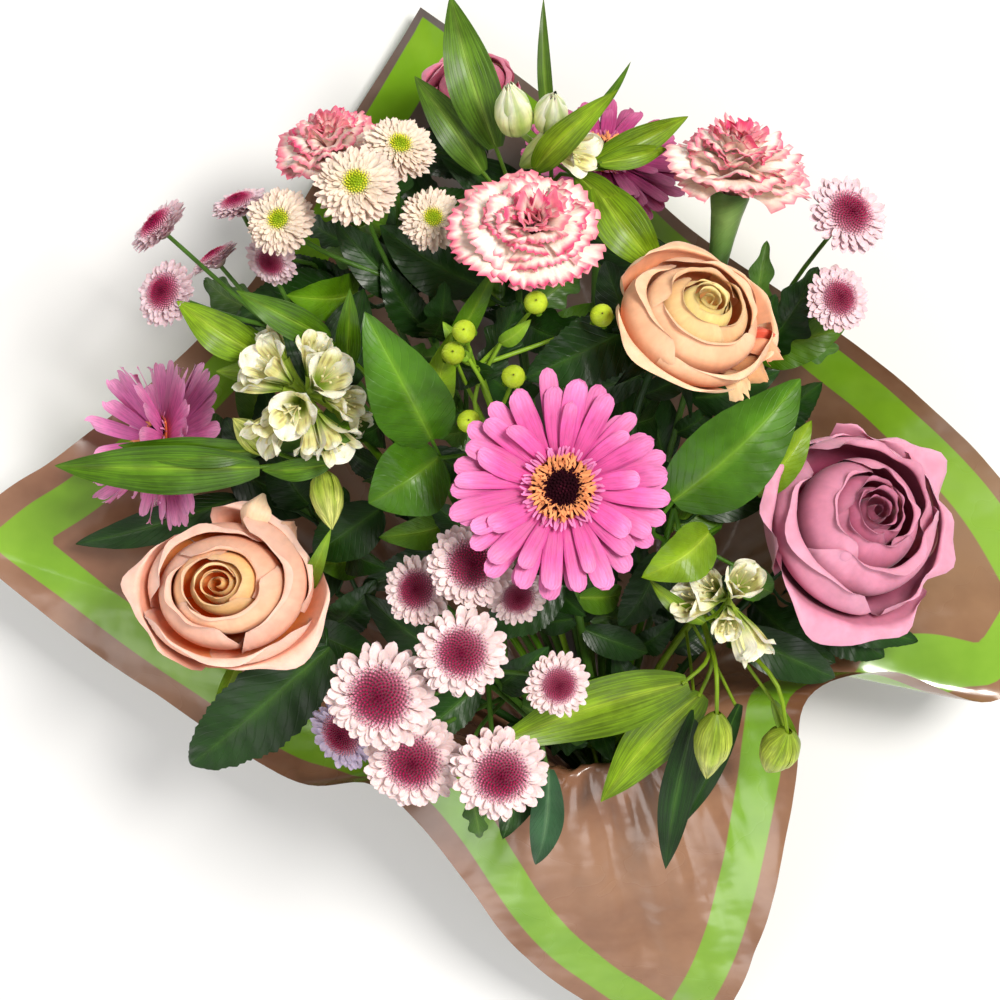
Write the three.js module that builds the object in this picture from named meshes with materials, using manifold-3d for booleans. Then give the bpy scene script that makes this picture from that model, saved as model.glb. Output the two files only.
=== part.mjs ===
// A mixed flower bouquet in a square of striped film, laid down on its back.
// Millimetres. +Y points to the flower heads, -Y to the cut stem ends, +Z up, and the film rests on z = 0.
import * as THREE from 'three';
import { mergeVertices } from 'three/addons/utils/BufferGeometryUtils.js';
import Module from 'manifold-3d';

const wasm = await Module();
wasm.setup();

// ---- driving dimensions ----
const TIE = [58, -198, 53];              // middle of the bundle where the tie holds it
const STEM_DIRECTION = [-0.17, 0.91, 0.34]; // the bundle's axis, from the cut ends to the heads
const STEM_BELOW_TIE = 110;              // cut stem left below the tie
const SLOT_GAP = 0.85;                   // least gap between two stems at the tie
const CLEAR = 0.45;                      // gap kept between neighbouring pieces
const BLADE = 0.9;                       // thickness of leaves
const PETAL = 0.8;                       // thickness of petals
const FILM = 1.0;                        // thickness of the wrap with its plies
const NECK_CLEAR = 4.2;                  // film stands this far off the outermost stems at the tie
const TIE_WIDTH = 12;
const TIE_THICK = 2.4;
const SKIRT = 34;                        // film below the tie
const TO_ORIGIN = [-8, 82.5, 0];         // brings the middle of the whole bouquet's footprint to the origin

const GREEN = {
  bright: 0x6fa53a, deep: 0x2f5a2c, stem: 0x5d8a3c, grey: 0x5f8a63, lime: 0x9cc04a,
};

// ---- small helpers ----
const V = (p) => new THREE.Vector3(...p);
const Z = new THREE.Vector3(0, 0, 1);
const TURN = Math.PI * 2;
const axis = V(STEM_DIRECTION).normalize();
const tie = V(TIE);

// Seeded draws, so that every build gives the same bouquet.
function draws(seed) {
  let state = seed * 2654435761 % 4294967296;
  return () => {
    state = (state * 1664525 + 1013904223) % 4294967296;
    return state / 4294967296;
  };
}

function frameOf(normal, spin = 0) {
  const turn = new THREE.Quaternion().setFromUnitVectors(Z, V(normal).normalize());
  return turn.multiply(new THREE.Quaternion().setFromAxisAngle(Z, spin));
}

// A closed list of points and triangles as a solid that can be joined and cut.
function solid(points, faces) {
  const mesh = new wasm.Mesh({
    numProp: 3,
    vertProperties: new Float32Array(points.flat()),
    triVerts: new Uint32Array(faces.flat()),
  });
  return new wasm.Manifold(mesh);
}

function solidOf(geometry) {
  let bare = geometry.index ? geometry.toNonIndexed() : geometry.clone();
  bare.deleteAttribute('normal');
  bare.deleteAttribute('uv');
  bare = mergeVertices(bare, 1e-4);
  const spots = bare.attributes.position;
  const mesh = new wasm.Mesh({
    numProp: 3,
    vertProperties: new Float32Array(spots.array),
    triVerts: new Uint32Array(bare.index.array),
  });
  return new wasm.Manifold(mesh);
}

function geometryOf(body) {
  const { vertProperties, triVerts, numProp } = body.getMesh();
  const spots = new Float32Array(vertProperties.length / numProp * 3);
  for (let i = 0; i < spots.length / 3; i++) {
    for (let k = 0; k < 3; k++) spots[3 * i + k] = vertProperties[numProp * i + k];
  }
  const geometry = new THREE.BufferGeometry();
  geometry.setAttribute('position', new THREE.BufferAttribute(spots, 3));
  geometry.setIndex(Array.from(triVerts));
  geometry.computeVertexNormals();
  return geometry;
}

function pointsOf(body) {
  const { vertProperties, numProp } = body.getMesh();
  const out = [];
  for (let i = 0; i < vertProperties.length; i += numProp) {
    out.push(new THREE.Vector3(vertProperties[i], vertProperties[i + 1], vertProperties[i + 2]));
  }
  return out;
}

const join = (bodies) => bodies.reduce((sum, next) => sum.add(next));
const boxesMeet = (a, b) => [0, 1, 2].every((k) => a.min[k] <= b.max[k] && b.min[k] <= a.max[k]);

// Cuts every tool that comes near the body out of it.
function cutBy(body, tools) {
  let left = body;
  for (const tool of tools) {
    if (boxesMeet(left.boundingBox(), tool.boundingBox())) left = left.subtract(tool);
  }
  return left;
}

// The piece of a cut body that holds the spot, or that lies nearest to it.
function pieceAt(body, spot) {
  const nearest = (piece) => Math.min(...pointsOf(piece).map((p) => p.distanceTo(spot)));
  const pieces = body.decompose().filter((piece) => piece.volume() > 0.5);
  if (!pieces.length) return null;
  return pieces.reduce((best, piece) => (nearest(piece) < nearest(best) ? piece : best));
}

const largest = (body) => body.decompose().reduce((a, b) => (a.volume() > b.volume() ? a : b));

// The room that leaves and stems leave round a bloom: its outline, turned, and grown by the gap.
function roomOf(profile, r) {
  return lathe(profile.map(([x, z]) => [x && x * r + CLEAR, z * r + Math.sign(z) * CLEAR]), 10);
}

// ---- blades, tubes and ringed heads ----

// A thin closed blade on the surface(u, v), u across from 0 to 1 and v from root to tip.
function blade(surface, across, along, thickness) {
  const points = [];
  const faces = [];
  const step = 1e-3;
  const side = (u, v, sign) => {
    const p = surface(u, v);
    const du = surface(Math.min(u + step, 1), v).sub(surface(Math.max(u - step, 0), v));
    const dv = surface(u, Math.min(v + step, 1)).sub(surface(u, Math.max(v - step, 0)));
    return p.addScaledVector(du.cross(dv).normalize(), sign * thickness / 2).toArray();
  };
  for (const sign of [1, -1]) {
    for (let j = 0; j <= along; j++) {
      for (let i = 0; i <= across; i++) points.push(side(i / across, j / along, sign));
    }
  }
  const under = (across + 1) * (along + 1);
  const at = (i, j) => j * (across + 1) + i;
  for (let j = 0; j < along; j++) {
    for (let i = 0; i < across; i++) {
      const [a, b, c, d] = [at(i, j), at(i + 1, j), at(i + 1, j + 1), at(i, j + 1)];
      const halves = i < across / 2 ? [[a, b, d], [b, c, d]] : [[a, b, c], [a, c, d]];
      for (const [p, q, r] of halves) {
        faces.push([p, q, r], [r + under, q + under, p + under]);
      }
    }
  }
  const rim = [];
  for (let i = 0; i < across; i++) rim.push([at(i, 0), at(i + 1, 0)], [at(i + 1, along), at(i, along)]);
  for (let j = 0; j < along; j++) rim.push([at(across, j), at(across, j + 1)], [at(0, j + 1), at(0, j)]);
  for (const [p, q] of rim) faces.push([q, p, p + under], [q, p + under, q + under]);
  return solid(points, faces);
}

// A round stem along a curve.
function tube(path, radius, steps, sides = 6) {
  const section = new THREE.Shape();
  for (let k = 0; k < sides; k++) {
    const [x, y] = [radius * Math.cos(TURN * k / sides), radius * Math.sin(TURN * k / sides)];
    if (k) section.lineTo(x, y);
    else section.moveTo(x, y);
  }
  const curve = new THREE.CatmullRomCurve3(path);
  return solidOf(new THREE.ExtrudeGeometry(section, { steps, extrudePath: curve, curveSegments: 1 }));
}

function lathe(profile, sides) {
  const outline = profile.map(([r, z]) => new THREE.Vector2(r, z));
  return solidOf(new THREE.LatheGeometry(outline, sides).rotateX(Math.PI / 2));
}

// A head of petals as rings of points, from its underside up, closed at both poles.
// Each row is { at, shift }: at holds [radius, height] for each sample of one petal, shift turns the row.
function ringedHead(bottom, rows, top, petals, random, jitter) {
  const samples = rows[0].at.length;
  const count = petals * samples;
  const points = [[0, 0, bottom]];
  for (const { at, shift = 0 } of rows) {
    for (let k = 0; k < count; k++) {
      const [r, z] = at[(k + shift) % samples];
      const angle = TURN * k / count;
      const reach = r * (1 + jitter * (random() - 0.5));
      points.push([reach * Math.cos(angle), reach * Math.sin(angle), z + r * jitter * (random() - 0.5)]);
    }
  }
  points.push([0, 0, top]);
  const last = points.length - 1;
  const faces = [];
  for (let k = 0; k < count; k++) {
    const next = (k + 1) % count;
    faces.push([0, 1 + next, 1 + k]);
    for (let row = 0; row + 1 < rows.length; row++) {
      const low = 1 + row * count;
      const high = low + count;
      faces.push([low + k, low + next, high + next], [low + k, high + next, high + k]);
    }
    const rim = 1 + (rows.length - 1) * count;
    faces.push([rim + k, rim + next, last]);
  }
  return solid(points, faces);
}

const level = (samples, r, z) => Array(samples).fill([r, z]);

// ---- the blooms, each made about its own middle and facing +Z ----

// A small spray chrysanthemum: two rings of petals round a raised eye.
function mumHead(r, seed) {
  const rows = [
    { at: [[r, 0], [0.74 * r, 0.04 * r]] },
    { at: [[0.82 * r, 0.26 * r], [0.6 * r, 0.16 * r]], shift: 1 },
    { at: level(2, 0.42 * r, 0.2 * r) },
  ];
  return ringedHead(-0.4 * r, rows, 0.34 * r, 10, draws(seed), 0.06);
}

// A carnation: frills that fold in and out from a narrow foot.
function carnationHead(r, seed) {
  const rows = [
    { at: level(2, 0.22 * r, -0.5 * r) },
    { at: [[r, 0.02 * r], [0.8 * r, -0.08 * r]] },
    { at: [[0.96 * r, 0.12 * r], [0.78 * r, 0.04 * r]] },
    { at: [[0.66 * r, 0.12 * r], [0.6 * r, 0.1 * r]] },
    { at: [[0.78 * r, 0.36 * r], [0.56 * r, 0.24 * r]], shift: 1 },
    { at: [[0.44 * r, 0.3 * r], [0.4 * r, 0.26 * r]] },
    { at: [[0.5 * r, 0.54 * r], [0.3 * r, 0.36 * r]] },
  ];
  return ringedHead(-0.54 * r, rows, 0.42 * r, 11, draws(seed), 0.12);
}

// A gerbera's two rings of strap petals, one ring standing clear above the other.
function gerberaPetals(r, seed, perRing) {
  const ring = (reach, rim, root, thick) => [
    [0.34 * r, root + thick], [0.9 * reach, rim + thick], [reach, rim * 0.9 + thick], [0.9 * reach, rim + thick],
  ];
  const rows = [
    { at: ring(r, 0.04 * r, 0, -PETAL) },
    { at: ring(r, 0.04 * r, 0, 0) },
    { at: level(4, 0.3 * r, 0.4) },
    { at: ring(0.94 * r, 0.14 * r, 0.8, 0), shift: 2 },
    { at: ring(0.94 * r, 0.14 * r, 0.8, PETAL), shift: 2 },
  ];
  return ringedHead(-0.12 * r, rows, 1, perRing, draws(seed), 0.04);
}

// The eye lies in the hollow of the upper ring, with a raised ring of florets round a low disc.
function gerberaEye(r) {
  const profile = [[0, 0.01], [0.32, 0.08], [0.26, 0.19], [0.14, 0.15], [0, 0.18]];
  return lathe(profile.map(([radius, z]) => [radius * r, z * r + 1 + CLEAR]), 8);
}

// A rose: three whorls of petals, each standing clear inside the last, round a tight bud.
function roseHead(r, seed) {
  const whorl = (out, rim, inside) => [
    { at: [[0.86 * out, rim - 0.1], [out, rim], [0.99 * out, rim - 0.02]] },
    { at: [[0.8 * out, rim - 0.04], [0.91 * out, rim + 0.08], [0.9 * out, rim + 0.07]] },
    { at: level(3, ...inside) },
  ];
  const rows = [
    { at: level(3, 0.34, -0.62) },
    { at: [[0.76, -0.16], [0.86, -0.14], [0.86, -0.14]] },
    ...whorl(1.02, 0.14, [0.66, -0.04]),
    ...whorl(0.76, 0.36, [0.44, 0.12]).map((row, k) => (k < 2 ? { ...row, shift: 1 } : row)),
    ...whorl(0.48, 0.5, [0.22, 0.3]).map((row, k) => (k < 2 ? { ...row, shift: 2 } : row)),
    { at: level(3, 0.16, 0.52) },
  ].map(({ at, shift }) => ({ at: at.map(([x, z]) => [x * r, z * r]), shift }));
  return ringedHead(-0.7 * r, rows, 0.5 * r, 5, draws(seed), 0.05);
}

// A spindle-shaped bud or berry from the base to the tip.
function spindle(base, tip, radius, sides = 5) {
  const way = V(tip).sub(V(base));
  const profile = [[0, 0], [0.9, 0.25], [0.86, 0.66], [0, 1]];
  const body = lathe(profile.map(([r, z]) => [r * radius, z * way.length()]), sides);
  return placed(body, base, way.toArray(), 0);
}

// An open trumpet floret that grows out of the heart of its bunch: six tepals round a throat.
function trumpet(heart, at, r, spin) {
  const way = V(at).sub(V(heart));
  const rows = [
    { at: [[r, 0.2 * r], [0.58 * r, -0.05 * r]] },
    { at: [[0.94 * r, 0.32 * r], [0.5 * r, 0.06 * r]] },
  ];
  const body = ringedHead(-way.length() - 2, rows, -0.35 * r, 6, draws(3), 0.05);
  return placed(body, at, way.toArray(), spin);
}

function placed(body, at, face, spin) {
  const matrix = new THREE.Matrix4().compose(V(at), frameOf(face, spin), new THREE.Vector3(1, 1, 1));
  return body.transform(matrix.elements);
}

// Outlines of the blooms, as shares of their radius.
const MUM_ROOM = [[0, -0.4], [1.04, -0.04], [1.04, 0.08], [0.84, 0.34], [0, 0.42]];
const CARNATION_ROOM = [[0, -0.54], [0.27, -0.51], [1.08, -0.12], [1.08, 0.2], [0.6, 0.62], [0, 0.62]];
const ROSE_ROOM = [[0, -0.7], [0.38, -0.63], [0.82, -0.3], [1.08, 0.12], [1.02, 0.34], [0.6, 0.58], [0, 0.62]];
const GERBERA_ROOM = [[0, -0.12], [0.32, -0.07], [1.03, -0.05], [1.03, 0.24], [0.4, 0.24], [0, 0.24]];
const FLORET_ROOM = [[0, -1.5], [1.04, 0.1], [1.04, 0.34], [0, 0.4]];

// name: maker, middle, facing, radius, colour
const BLOOMS = [
  { name: 'rose_peach_left', make: roseHead, at: [-131, -50, 166], face: [-0.1, 0.44, 0.89], r: 46, color: 0xf3b58f },
  { name: 'rose_peach_right', make: roseHead, at: [86, 88, 205], face: [0.36, 0.65, 0.67], r: 42, color: 0xf5c19c },
  { name: 'rose_mauve_right', make: roseHead, at: [171, -19, 160], face: [0.31, 0.48, 0.82], r: 49, color: 0xb96a84 },
  { name: 'rose_mauve_top', make: roseHead, at: [-15, 180, 88], face: [-0.15, 0.78, 0.6], r: 29, color: 0xb2647c },
  { name: 'carnation_centre', make: carnationHead, at: [14, 128, 200], face: [0.1, 0.6, 0.8], r: 36, color: 0xf7d6da },
  { name: 'carnation_right', make: carnationHead, at: [108, 150, 160], face: [0.1, 0.93, 0.3], r: 35, color: 0xf6cdd4 },
  { name: 'carnation_left', make: carnationHead, at: [-79, 158, 138], face: [-0.2, 0.9, 0.39], r: 27, color: 0xee9fae },
  { name: 'mum_pale_1', make: mumHead, at: [-64, 146, 192], face: [0, 0.49, 0.87], r: 19, color: 0xf6e4e6 },
  { name: 'mum_pale_2', make: mumHead, at: [-46, 160, 170], face: [0.2, 0.69, 0.72], r: 17, color: 0xf5e0e4 },
  { name: 'mum_pale_3', make: mumHead, at: [-100, 128, 178], face: [-0.15, 0.44, 0.89], r: 16, color: 0xf6e4e6 },
  { name: 'mum_pale_4', make: mumHead, at: [-31, 128, 172], face: [0.15, 0.44, 0.89], r: 15, color: 0xf8efec },
  { name: 'mum_left_1', make: mumHead, at: [-158, 123, 160], face: [-0.61, 0.72, 0.33], r: 16, color: 0xe9c3cf },
  { name: 'mum_left_2', make: mumHead, at: [-122, 132, 150], face: [-0.3, 0.91, 0.28], r: 14, color: 0xe2b3c3 },
  { name: 'mum_left_3', make: mumHead, at: [-154, 94, 172], face: [-0.48, 0.41, 0.78], r: 16, color: 0xf0d3da },
  { name: 'mum_left_4', make: mumHead, at: [-136, 104, 132], face: [-0.6, 0.64, -0.4], r: 13, color: 0xd9a3b8 },
  { name: 'mum_left_5', make: mumHead, at: [-107, 106.5, 152], face: [-0.27, -0.3, 0.83], r: 13, color: 0xecd0d8 },
  { name: 'mum_right_1', make: mumHead, at: [160, 129, 165], face: [0.3, 0.53, 0.8], r: 19.5, color: 0xefd3db },
  { name: 'mum_right_2', make: mumHead, at: [158, 89, 158], face: [0.29, 0.34, 0.9], r: 16, color: 0xf0d6dd },
  { name: 'mum_front_1', make: mumHead, at: [-13, -22, 222], face: [0, 0.35, 0.94], r: 20, color: 0xf3dbe1 },
  { name: 'mum_front_2', make: mumHead, at: [-38, -42, 196], face: [-0.37, 0.33, 0.87], r: 17, color: 0xeed0d9 },
  { name: 'mum_front_3', make: mumHead, at: [8, -45, 196], face: [0.19, -0.03, 0.98], r: 14, color: 0xefd2da },
  { name: 'mum_front_4', make: mumHead, at: [-17, -57, 241], face: [-0.05, 0.21, 0.98], r: 21, color: 0xf4dfe4 },
  { name: 'mum_front_5', make: mumHead, at: [-54, -81, 232], face: [-0.15, 0.16, 0.98], r: 25.5, color: 0xf5e2e6 },
  { name: 'mum_front_6', make: mumHead, at: [-74, -113, 196], face: [-0.47, -0.05, 0.88], r: 18, color: 0xd9c3de },
  { name: 'mum_front_7', make: mumHead, at: [-41, -122, 208], face: [0, 0.06, 1], r: 23.5, color: 0xf3dde2 },
  { name: 'mum_front_8', make: mumHead, at: [0, -122, 224], face: [0.1, 0.06, 0.99], r: 23, color: 0xf4dfe3 },
  { name: 'mum_front_9', make: mumHead, at: [27, -86, 203], face: [0.2, 0.16, 0.97], r: 16, color: 0xf0d6dd },
];

const GERBERAS = [
  { name: 'gerbera_front', at: [27, 19, 240], face: [0.05, 0.24, 0.97], r: 48, perRing: 11, color: 0xe468ae },
  { name: 'gerbera_left', at: [-166, 12, 125], face: [-0.86, 0.28, 0.43], r: 44, perRing: 8, color: 0xd560a4 },
  { name: 'gerbera_top', at: [52, 146, 85], face: [0.1, 0.8, 0.59], r: 41, perRing: 8, color: 0xb23a7c },
];

// White alstroemeria florets: each bunch grows from its heart and is one body.
const FLORETS = [
  {
    name: 'alstroemeria_left_florets', color: 0xf3f1dc, heart: [-89, 50, 188], size: 13,
    trumpets: [[-104, 66, 204], [-78, 62, 208], [-92, 48, 214], [-106, 36, 202], [-76, 32, 204]], buds: [],
  },
  {
    name: 'alstroemeria_top_florets', color: 0xeef0d2, heart: [16, 160, 150], size: 12, trumpets: [[34, 158, 168]],
    buds: [[[8, 166, 160], [4, 190, 188], 9], [[22, 168, 160], [24, 186, 190], 8], [[10, 150, 150], [40, 176, 172], 7]],
  },
  {
    name: 'alstroemeria_right_florets', color: 0xf4f2e0, heart: [108, -50, 184], size: 14,
    trumpets: [[90, -46, 200], [112, -36, 204], [118, -68, 194]], buds: [],
  },
];

// ---- the green pieces ----
// Each main stem runs from its cut end through the tie to the spots in heads; leaves hang on it.
// leaves: [root, tip, width, bow, lobes]; the first head takes the main stem itself.
const SPRAYS = [
  { name: 'stem_rose_peach_left', thick: 4.6, heads: ['rose_peach_left'], calyx: 'rose', color: GREEN.deep,
    leaves: [[[-84, -86, 150], [-159, -158, 128], 44, 10, 4]] },
  { name: 'stem_rose_peach_right', thick: 4.6, heads: ['rose_peach_right'], calyx: 'rose', color: GREEN.deep,
    leaves: [[[66, 80, 172], [12, 55, 178], 34, 8, 4]] },
  { name: 'stem_rose_mauve_right', thick: 4.8, heads: ['rose_mauve_right'], calyx: 'rose', color: GREEN.deep,
    leaves: [[[150, -72, 110], [214, -96, 112], 30, 8, 3]] },
  { name: 'stem_rose_mauve_top', thick: 4.4, heads: ['rose_mauve_top'], calyx: 'rose', color: GREEN.deep,
    leaves: [[[-30, 120, 70], [-84, 146, 58], 32, 8, 3]] },
  { name: 'stem_carnation_centre', thick: 3.6, heads: ['carnation_centre'], calyx: 'carnation', color: GREEN.grey, leaves: [] },
  { name: 'stem_carnation_right', thick: 3.6, heads: ['carnation_right'], calyx: 'carnation', color: GREEN.grey, leaves: [] },
  { name: 'stem_carnation_left', thick: 3.6, heads: ['carnation_left'], calyx: 'carnation', color: GREEN.grey, leaves: [] },
  { name: 'stem_gerbera_front', thick: 5, heads: ['gerbera_front'], calyx: 'gerbera', color: GREEN.stem, leaves: [] },
  { name: 'stem_gerbera_left', thick: 5, heads: ['gerbera_left'], calyx: 'gerbera', color: GREEN.stem, leaves: [] },
  { name: 'stem_gerbera_top', thick: 5, heads: ['gerbera_top'], calyx: 'gerbera', color: GREEN.stem, leaves: [] },
  { name: 'spray_mum_pale', thick: 4, color: GREEN.stem, fork: [-42, 92, 140],
    heads: ['mum_pale_1', 'mum_pale_2', 'mum_pale_3', 'mum_pale_4'],
    leaves: [[[-46, 100, 140], [-84, 108, 128], 16, 5, 3]] },
  { name: 'spray_mum_left', thick: 4, color: GREEN.stem, fork: [-84, 62, 112],
    heads: ['mum_left_1', 'mum_left_2', 'mum_left_3', 'mum_left_4', 'mum_left_5'],
    leaves: [[[-88, 66, 112], [-124, 66, 96], 16, 5, 3]] },
  { name: 'spray_mum_right', thick: 4, color: GREEN.stem, fork: [122, 56, 118],
    heads: ['mum_right_1', 'mum_right_2'],
    leaves: [[[126, 60, 118], [168, 56, 110], 20, 5, 3], [[122, 66, 122], [128, 112, 128], 16, 5, 3]] },
  { name: 'spray_mum_front', thick: 4.4, color: GREEN.stem, fork: [-14, -98, 150],
    heads: ['mum_front_8', 'mum_front_4', 'mum_front_1', 'mum_front_2', 'mum_front_3', 'mum_front_5', 'mum_front_6',
      'mum_front_7', 'mum_front_9'],
    leaves: [[[24, -142, 170], [18, -202, 152], 17, 5, 3], [[-16, -146, 176], [-10, -182, 164], 13, 4, 3]] },
  { name: 'spray_alstroemeria_left', thick: 4.2, color: GREEN.bright, heads: ['alstroemeria_left_florets'],
    leaves: [[[-112, 14, 184], [-210, 12, 174], 24, 8], [[-110, 66, 180], [-148, 92, 182], 20, 6],
      [[-78, 76, 190], [-118, 100, 202], 16, 6]],
    buds: [[[-108, 20, 176], [-122, 40, 196], 7], [[-84, 8, 168], [-78, -12, 196], 8]] },
  { name: 'spray_alstroemeria_top', thick: 4.2, color: GREEN.bright, heads: ['alstroemeria_top_florets'],
    leaves: [[[-2, 158, 146], [-23, 227, 140], 24, 10], [[-8, 146, 140], [-40, 190, 134], 18, 8],
      [[16, 150, 164], [52, 188, 192], 15, 8], [[24, 160, 140], [20, 226, 142], 7, 6],
      [[44, 142, 160], [76, 102, 166], 24, 10]], buds: [] },
  { name: 'spray_alstroemeria_right', thick: 4.2, color: GREEN.bright, heads: ['alstroemeria_right_florets'],
    leaves: [[[90, -92, 184], [-4, -126, 180], 24, -12], [[98, -102, 172], [50, -162, 166], 23, -10]],
    buds: [[[104, -106, 188], [101, -144, 176], 9.5], [[139, -117, 184], [132, -145, 166], 10]] },
  { name: 'spray_berries', thick: 3.4, color: GREEN.lime, fork: [-10, 62, 182], heads: [],
    leaves: [[[-14, 66, 188], [-26, 84, 190], 9, 3], [[0, 74, 190], [14, 86, 196], 8, 3]],
    berries: [[16, 96, 208], [-16, 84, 214], [-21, 73, 208], [46, 88, 196], [6, 64, 216], [-14, 43, 214]] },
  { name: 'foliage_left', thick: 3.6, color: GREEN.bright, fork: [-36, 20, 168], heads: [],
    leaves: [[[-31, 31, 200], [-59, 94, 226], 36, 10], [[-28, 22, 196], [-60, 2, 204], 38, 8],
      [[-30, 40, 176], [-22, 80, 196], 16, 5]] },
  { name: 'foliage_low', thick: 3.6, color: GREEN.deep, fork: [-85, -78, 86], heads: [],
    leaves: [[[-132, -20, 112], [-216, -46, 106], 20, 8], [[-58, -16, 146], [-92, -42, 140], 28, 8],
      [[-80, -50, 96], [-128, -96, 84], 26, 8]] },
  { name: 'foliage_right', thick: 3.6, color: GREEN.bright, fork: [84, -12, 158], heads: [],
    leaves: [[[80, 0, 192], [138, 57, 190], 42, 10], [[98, -16, 188], [66, -34, 202], 26, 8],
      [[116, -78, 150], [168, -106, 140], 24, 8], [[112, -40, 160], [134, -58, 150], 18, 5]] },
];

// ---- where each stem passes the tie ----
const sideways = new THREE.Vector3().crossVectors(axis, Z).normalize();
const upwards = new THREE.Vector3().crossVectors(sideways, axis).normalize();

const bloomSpot = {};
for (const { name, at, face } of [...BLOOMS, ...GERBERAS]) bloomSpot[name] = { at: V(at), face: V(face).normalize() };
for (const { name, heart } of FLORETS) bloomSpot[name] = { at: V(heart), face: Z.clone() };

function goalOf(spray) {
  return spray.fork ? V(spray.fork) : bloomSpot[spray.heads[0]].at;
}

// Slots start where each goal points, draw together, and push each other apart until SLOT_GAP is left between them.
function slotsAtTie() {
  const slots = SPRAYS.map((spray) => {
    const out = goalOf(spray).clone().sub(tie);
    const depth = out.dot(axis) + 60;
    return new THREE.Vector2(out.dot(sideways) / depth * 34, out.dot(upwards) / depth * 34);
  });
  for (let round = 0; round < 400; round++) {
    for (let i = 0; i < slots.length; i++) {
      slots[i].multiplyScalar(0.997);
      for (let j = 0; j < i; j++) {
        const apart = slots[i].clone().sub(slots[j]);
        const short = (SPRAYS[i].thick + SPRAYS[j].thick) / 2 + SLOT_GAP - apart.length();
        if (short > 0) {
          apart.setLength(short / 2);
          slots[i].add(apart);
          slots[j].sub(apart);
        }
      }
    }
  }
  return slots;
}
const slots = slotsAtTie();
const bundleRadius = Math.max(...slots.map((slot) => slot.length())) + 2.5;
const slotPoint = (slot, along) => tie.clone()
  .addScaledVector(sideways, slot.x).addScaledVector(upwards, slot.y).addScaledVector(axis, along);

// A stem's way from its cut end through the tie, then in a soft bend to the goal.
function stemPath(slot, goal, arrive, lead) {
  const start = slotPoint(slot, 14);
  const reach = goal.distanceTo(start);
  const bend = new THREE.CubicBezierCurve3(
    start,
    start.clone().addScaledVector(axis, reach * 0.28).lerp(start.clone().lerp(goal, 0.3), 0.35),
    goal.clone().addScaledVector(arrive, -lead * reach),
    goal,
  );
  return [slotPoint(slot, -STEM_BELOW_TIE), slotPoint(slot, -STEM_BELOW_TIE / 3), ...bend.getPoints(7)];
}

// ---- the film's outline ----
// The rim of the square as it flares: four corners, and edges that sag towards the tie between them.
const RIM = [
  [-41, 217, 16], [31, 166, 14], [101, 105, 50], [165, 64, 84], [253, -11, 92], [300, -80, 90], [262, -135, 92],
  [197, -112, 112], [156, -118, 134], [153, -172, 122], [140, -290, 78], [112, -392, 20], [14, -290, 78],
  [-44, -186, 128], [-66, -166, 132], [-104, -174, 112], [-173, -140, 88], [-256, -75, 84], [-284, -47, 90],
  [-252, -21, 86], [-228, -6, 80], [-140, 66, 36], [-78, 160, 14],
];
const CORNERS = [0, 5, 11, 18];          // entries of RIM that are the square's corners
const SIDE_STEPS = 10;                   // panels along each side of the square
const FILM_ROWS = 5;                     // panels from the tie to the rim
const FIRST_CORNER_ANGLE = -97 * Math.PI / 180; // where the far corner sits round the neck
const PLEAT = 1.5;                       // depth of the gathers at the tie
const CONE_REACH = 72;                   // the film stays a cone this far beyond the tie
const CONE_FLARE = 50;                   // and is this much wider there
const SAG = 8;                           // the film hangs this much below a straight way to its rim
const UNDER_SAG = 24;                    // and this much more under the bouquet, where it lies flat

const group = new THREE.Group();
group.name = 'bouquet';
group.position.set(...TO_ORIGIN);

function addMesh(name, geometry, color, roughness) {
  const material = new THREE.MeshStandardMaterial({ color, roughness, metalness: 0, flatShading: true });
  const mesh = new THREE.Mesh(geometry, material);
  mesh.name = name;
  group.add(mesh);
  return mesh;
}

const ROOM_OF = new Map([[mumHead, MUM_ROOM], [carnationHead, CARNATION_ROOM], [roseHead, ROSE_ROOM]]);
const rooms = {};
BLOOMS.forEach(({ name, make, at, face, r, color }, index) => {
  const body = make(r, index + 1);
  const spin = index * 0.7;
  const mesh = addMesh(name, geometryOf(body), color, 0.7);
  mesh.position.set(...at);
  mesh.quaternion.copy(frameOf(face, spin));
  rooms[name] = placed(roomOf(ROOM_OF.get(make), r), at, face, spin);
});
GERBERAS.forEach(({ name, at, face, r, perRing, color }, index) => {
  const petals = gerberaPetals(r, 40 + index, perRing);
  const eye = gerberaEye(r);
  const bloom = new THREE.Group();
  for (const [part, body, tint] of [['petals', petals, color], ['eye', eye, 0xe88a55]]) {
    const mesh = addMesh(`${name}_${part}`, geometryOf(body), tint, 0.7);
    bloom.add(mesh);
  }
  bloom.position.set(...at);
  bloom.quaternion.copy(frameOf(face, 0));
  group.add(bloom);
  rooms[name] = placed(roomOf(GERBERA_ROOM, r), at, face, 0);
});
for (const { name, color, heart, trumpets, buds, size } of FLORETS) {
  const parts = trumpets.map((at, k) => trumpet(heart, at, size, k));
  parts.push(...buds.map(([base, tip, radius]) => spindle(base, tip, radius)));
  parts.push(...buds.map(([base, tip]) => tube([V(heart), V(base).lerp(V(tip), 0.3)], 2.6, 1, 3)));
  parts.push(placed(lathe([[0, -8], [7, -3], [7, 4], [0, 8]], 6), heart, [0, 0, 1], 0));
  addMesh(name, geometryOf(join(parts)), color, 0.6);
  const room = trumpets.map((at) => placed(roomOf(FLORET_ROOM, size), at, V(at).sub(V(heart)).toArray(), 0));
  room.push(...buds.map(([base, tip, radius]) => spindle(base, tip, radius + CLEAR)));
  room.push(placed(lathe([[0, -9], [8, -3.5], [8, 4.5], [0, 9]], 6), heart, [0, 0, 1], 0));
  rooms[name] = join(room);
}

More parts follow.
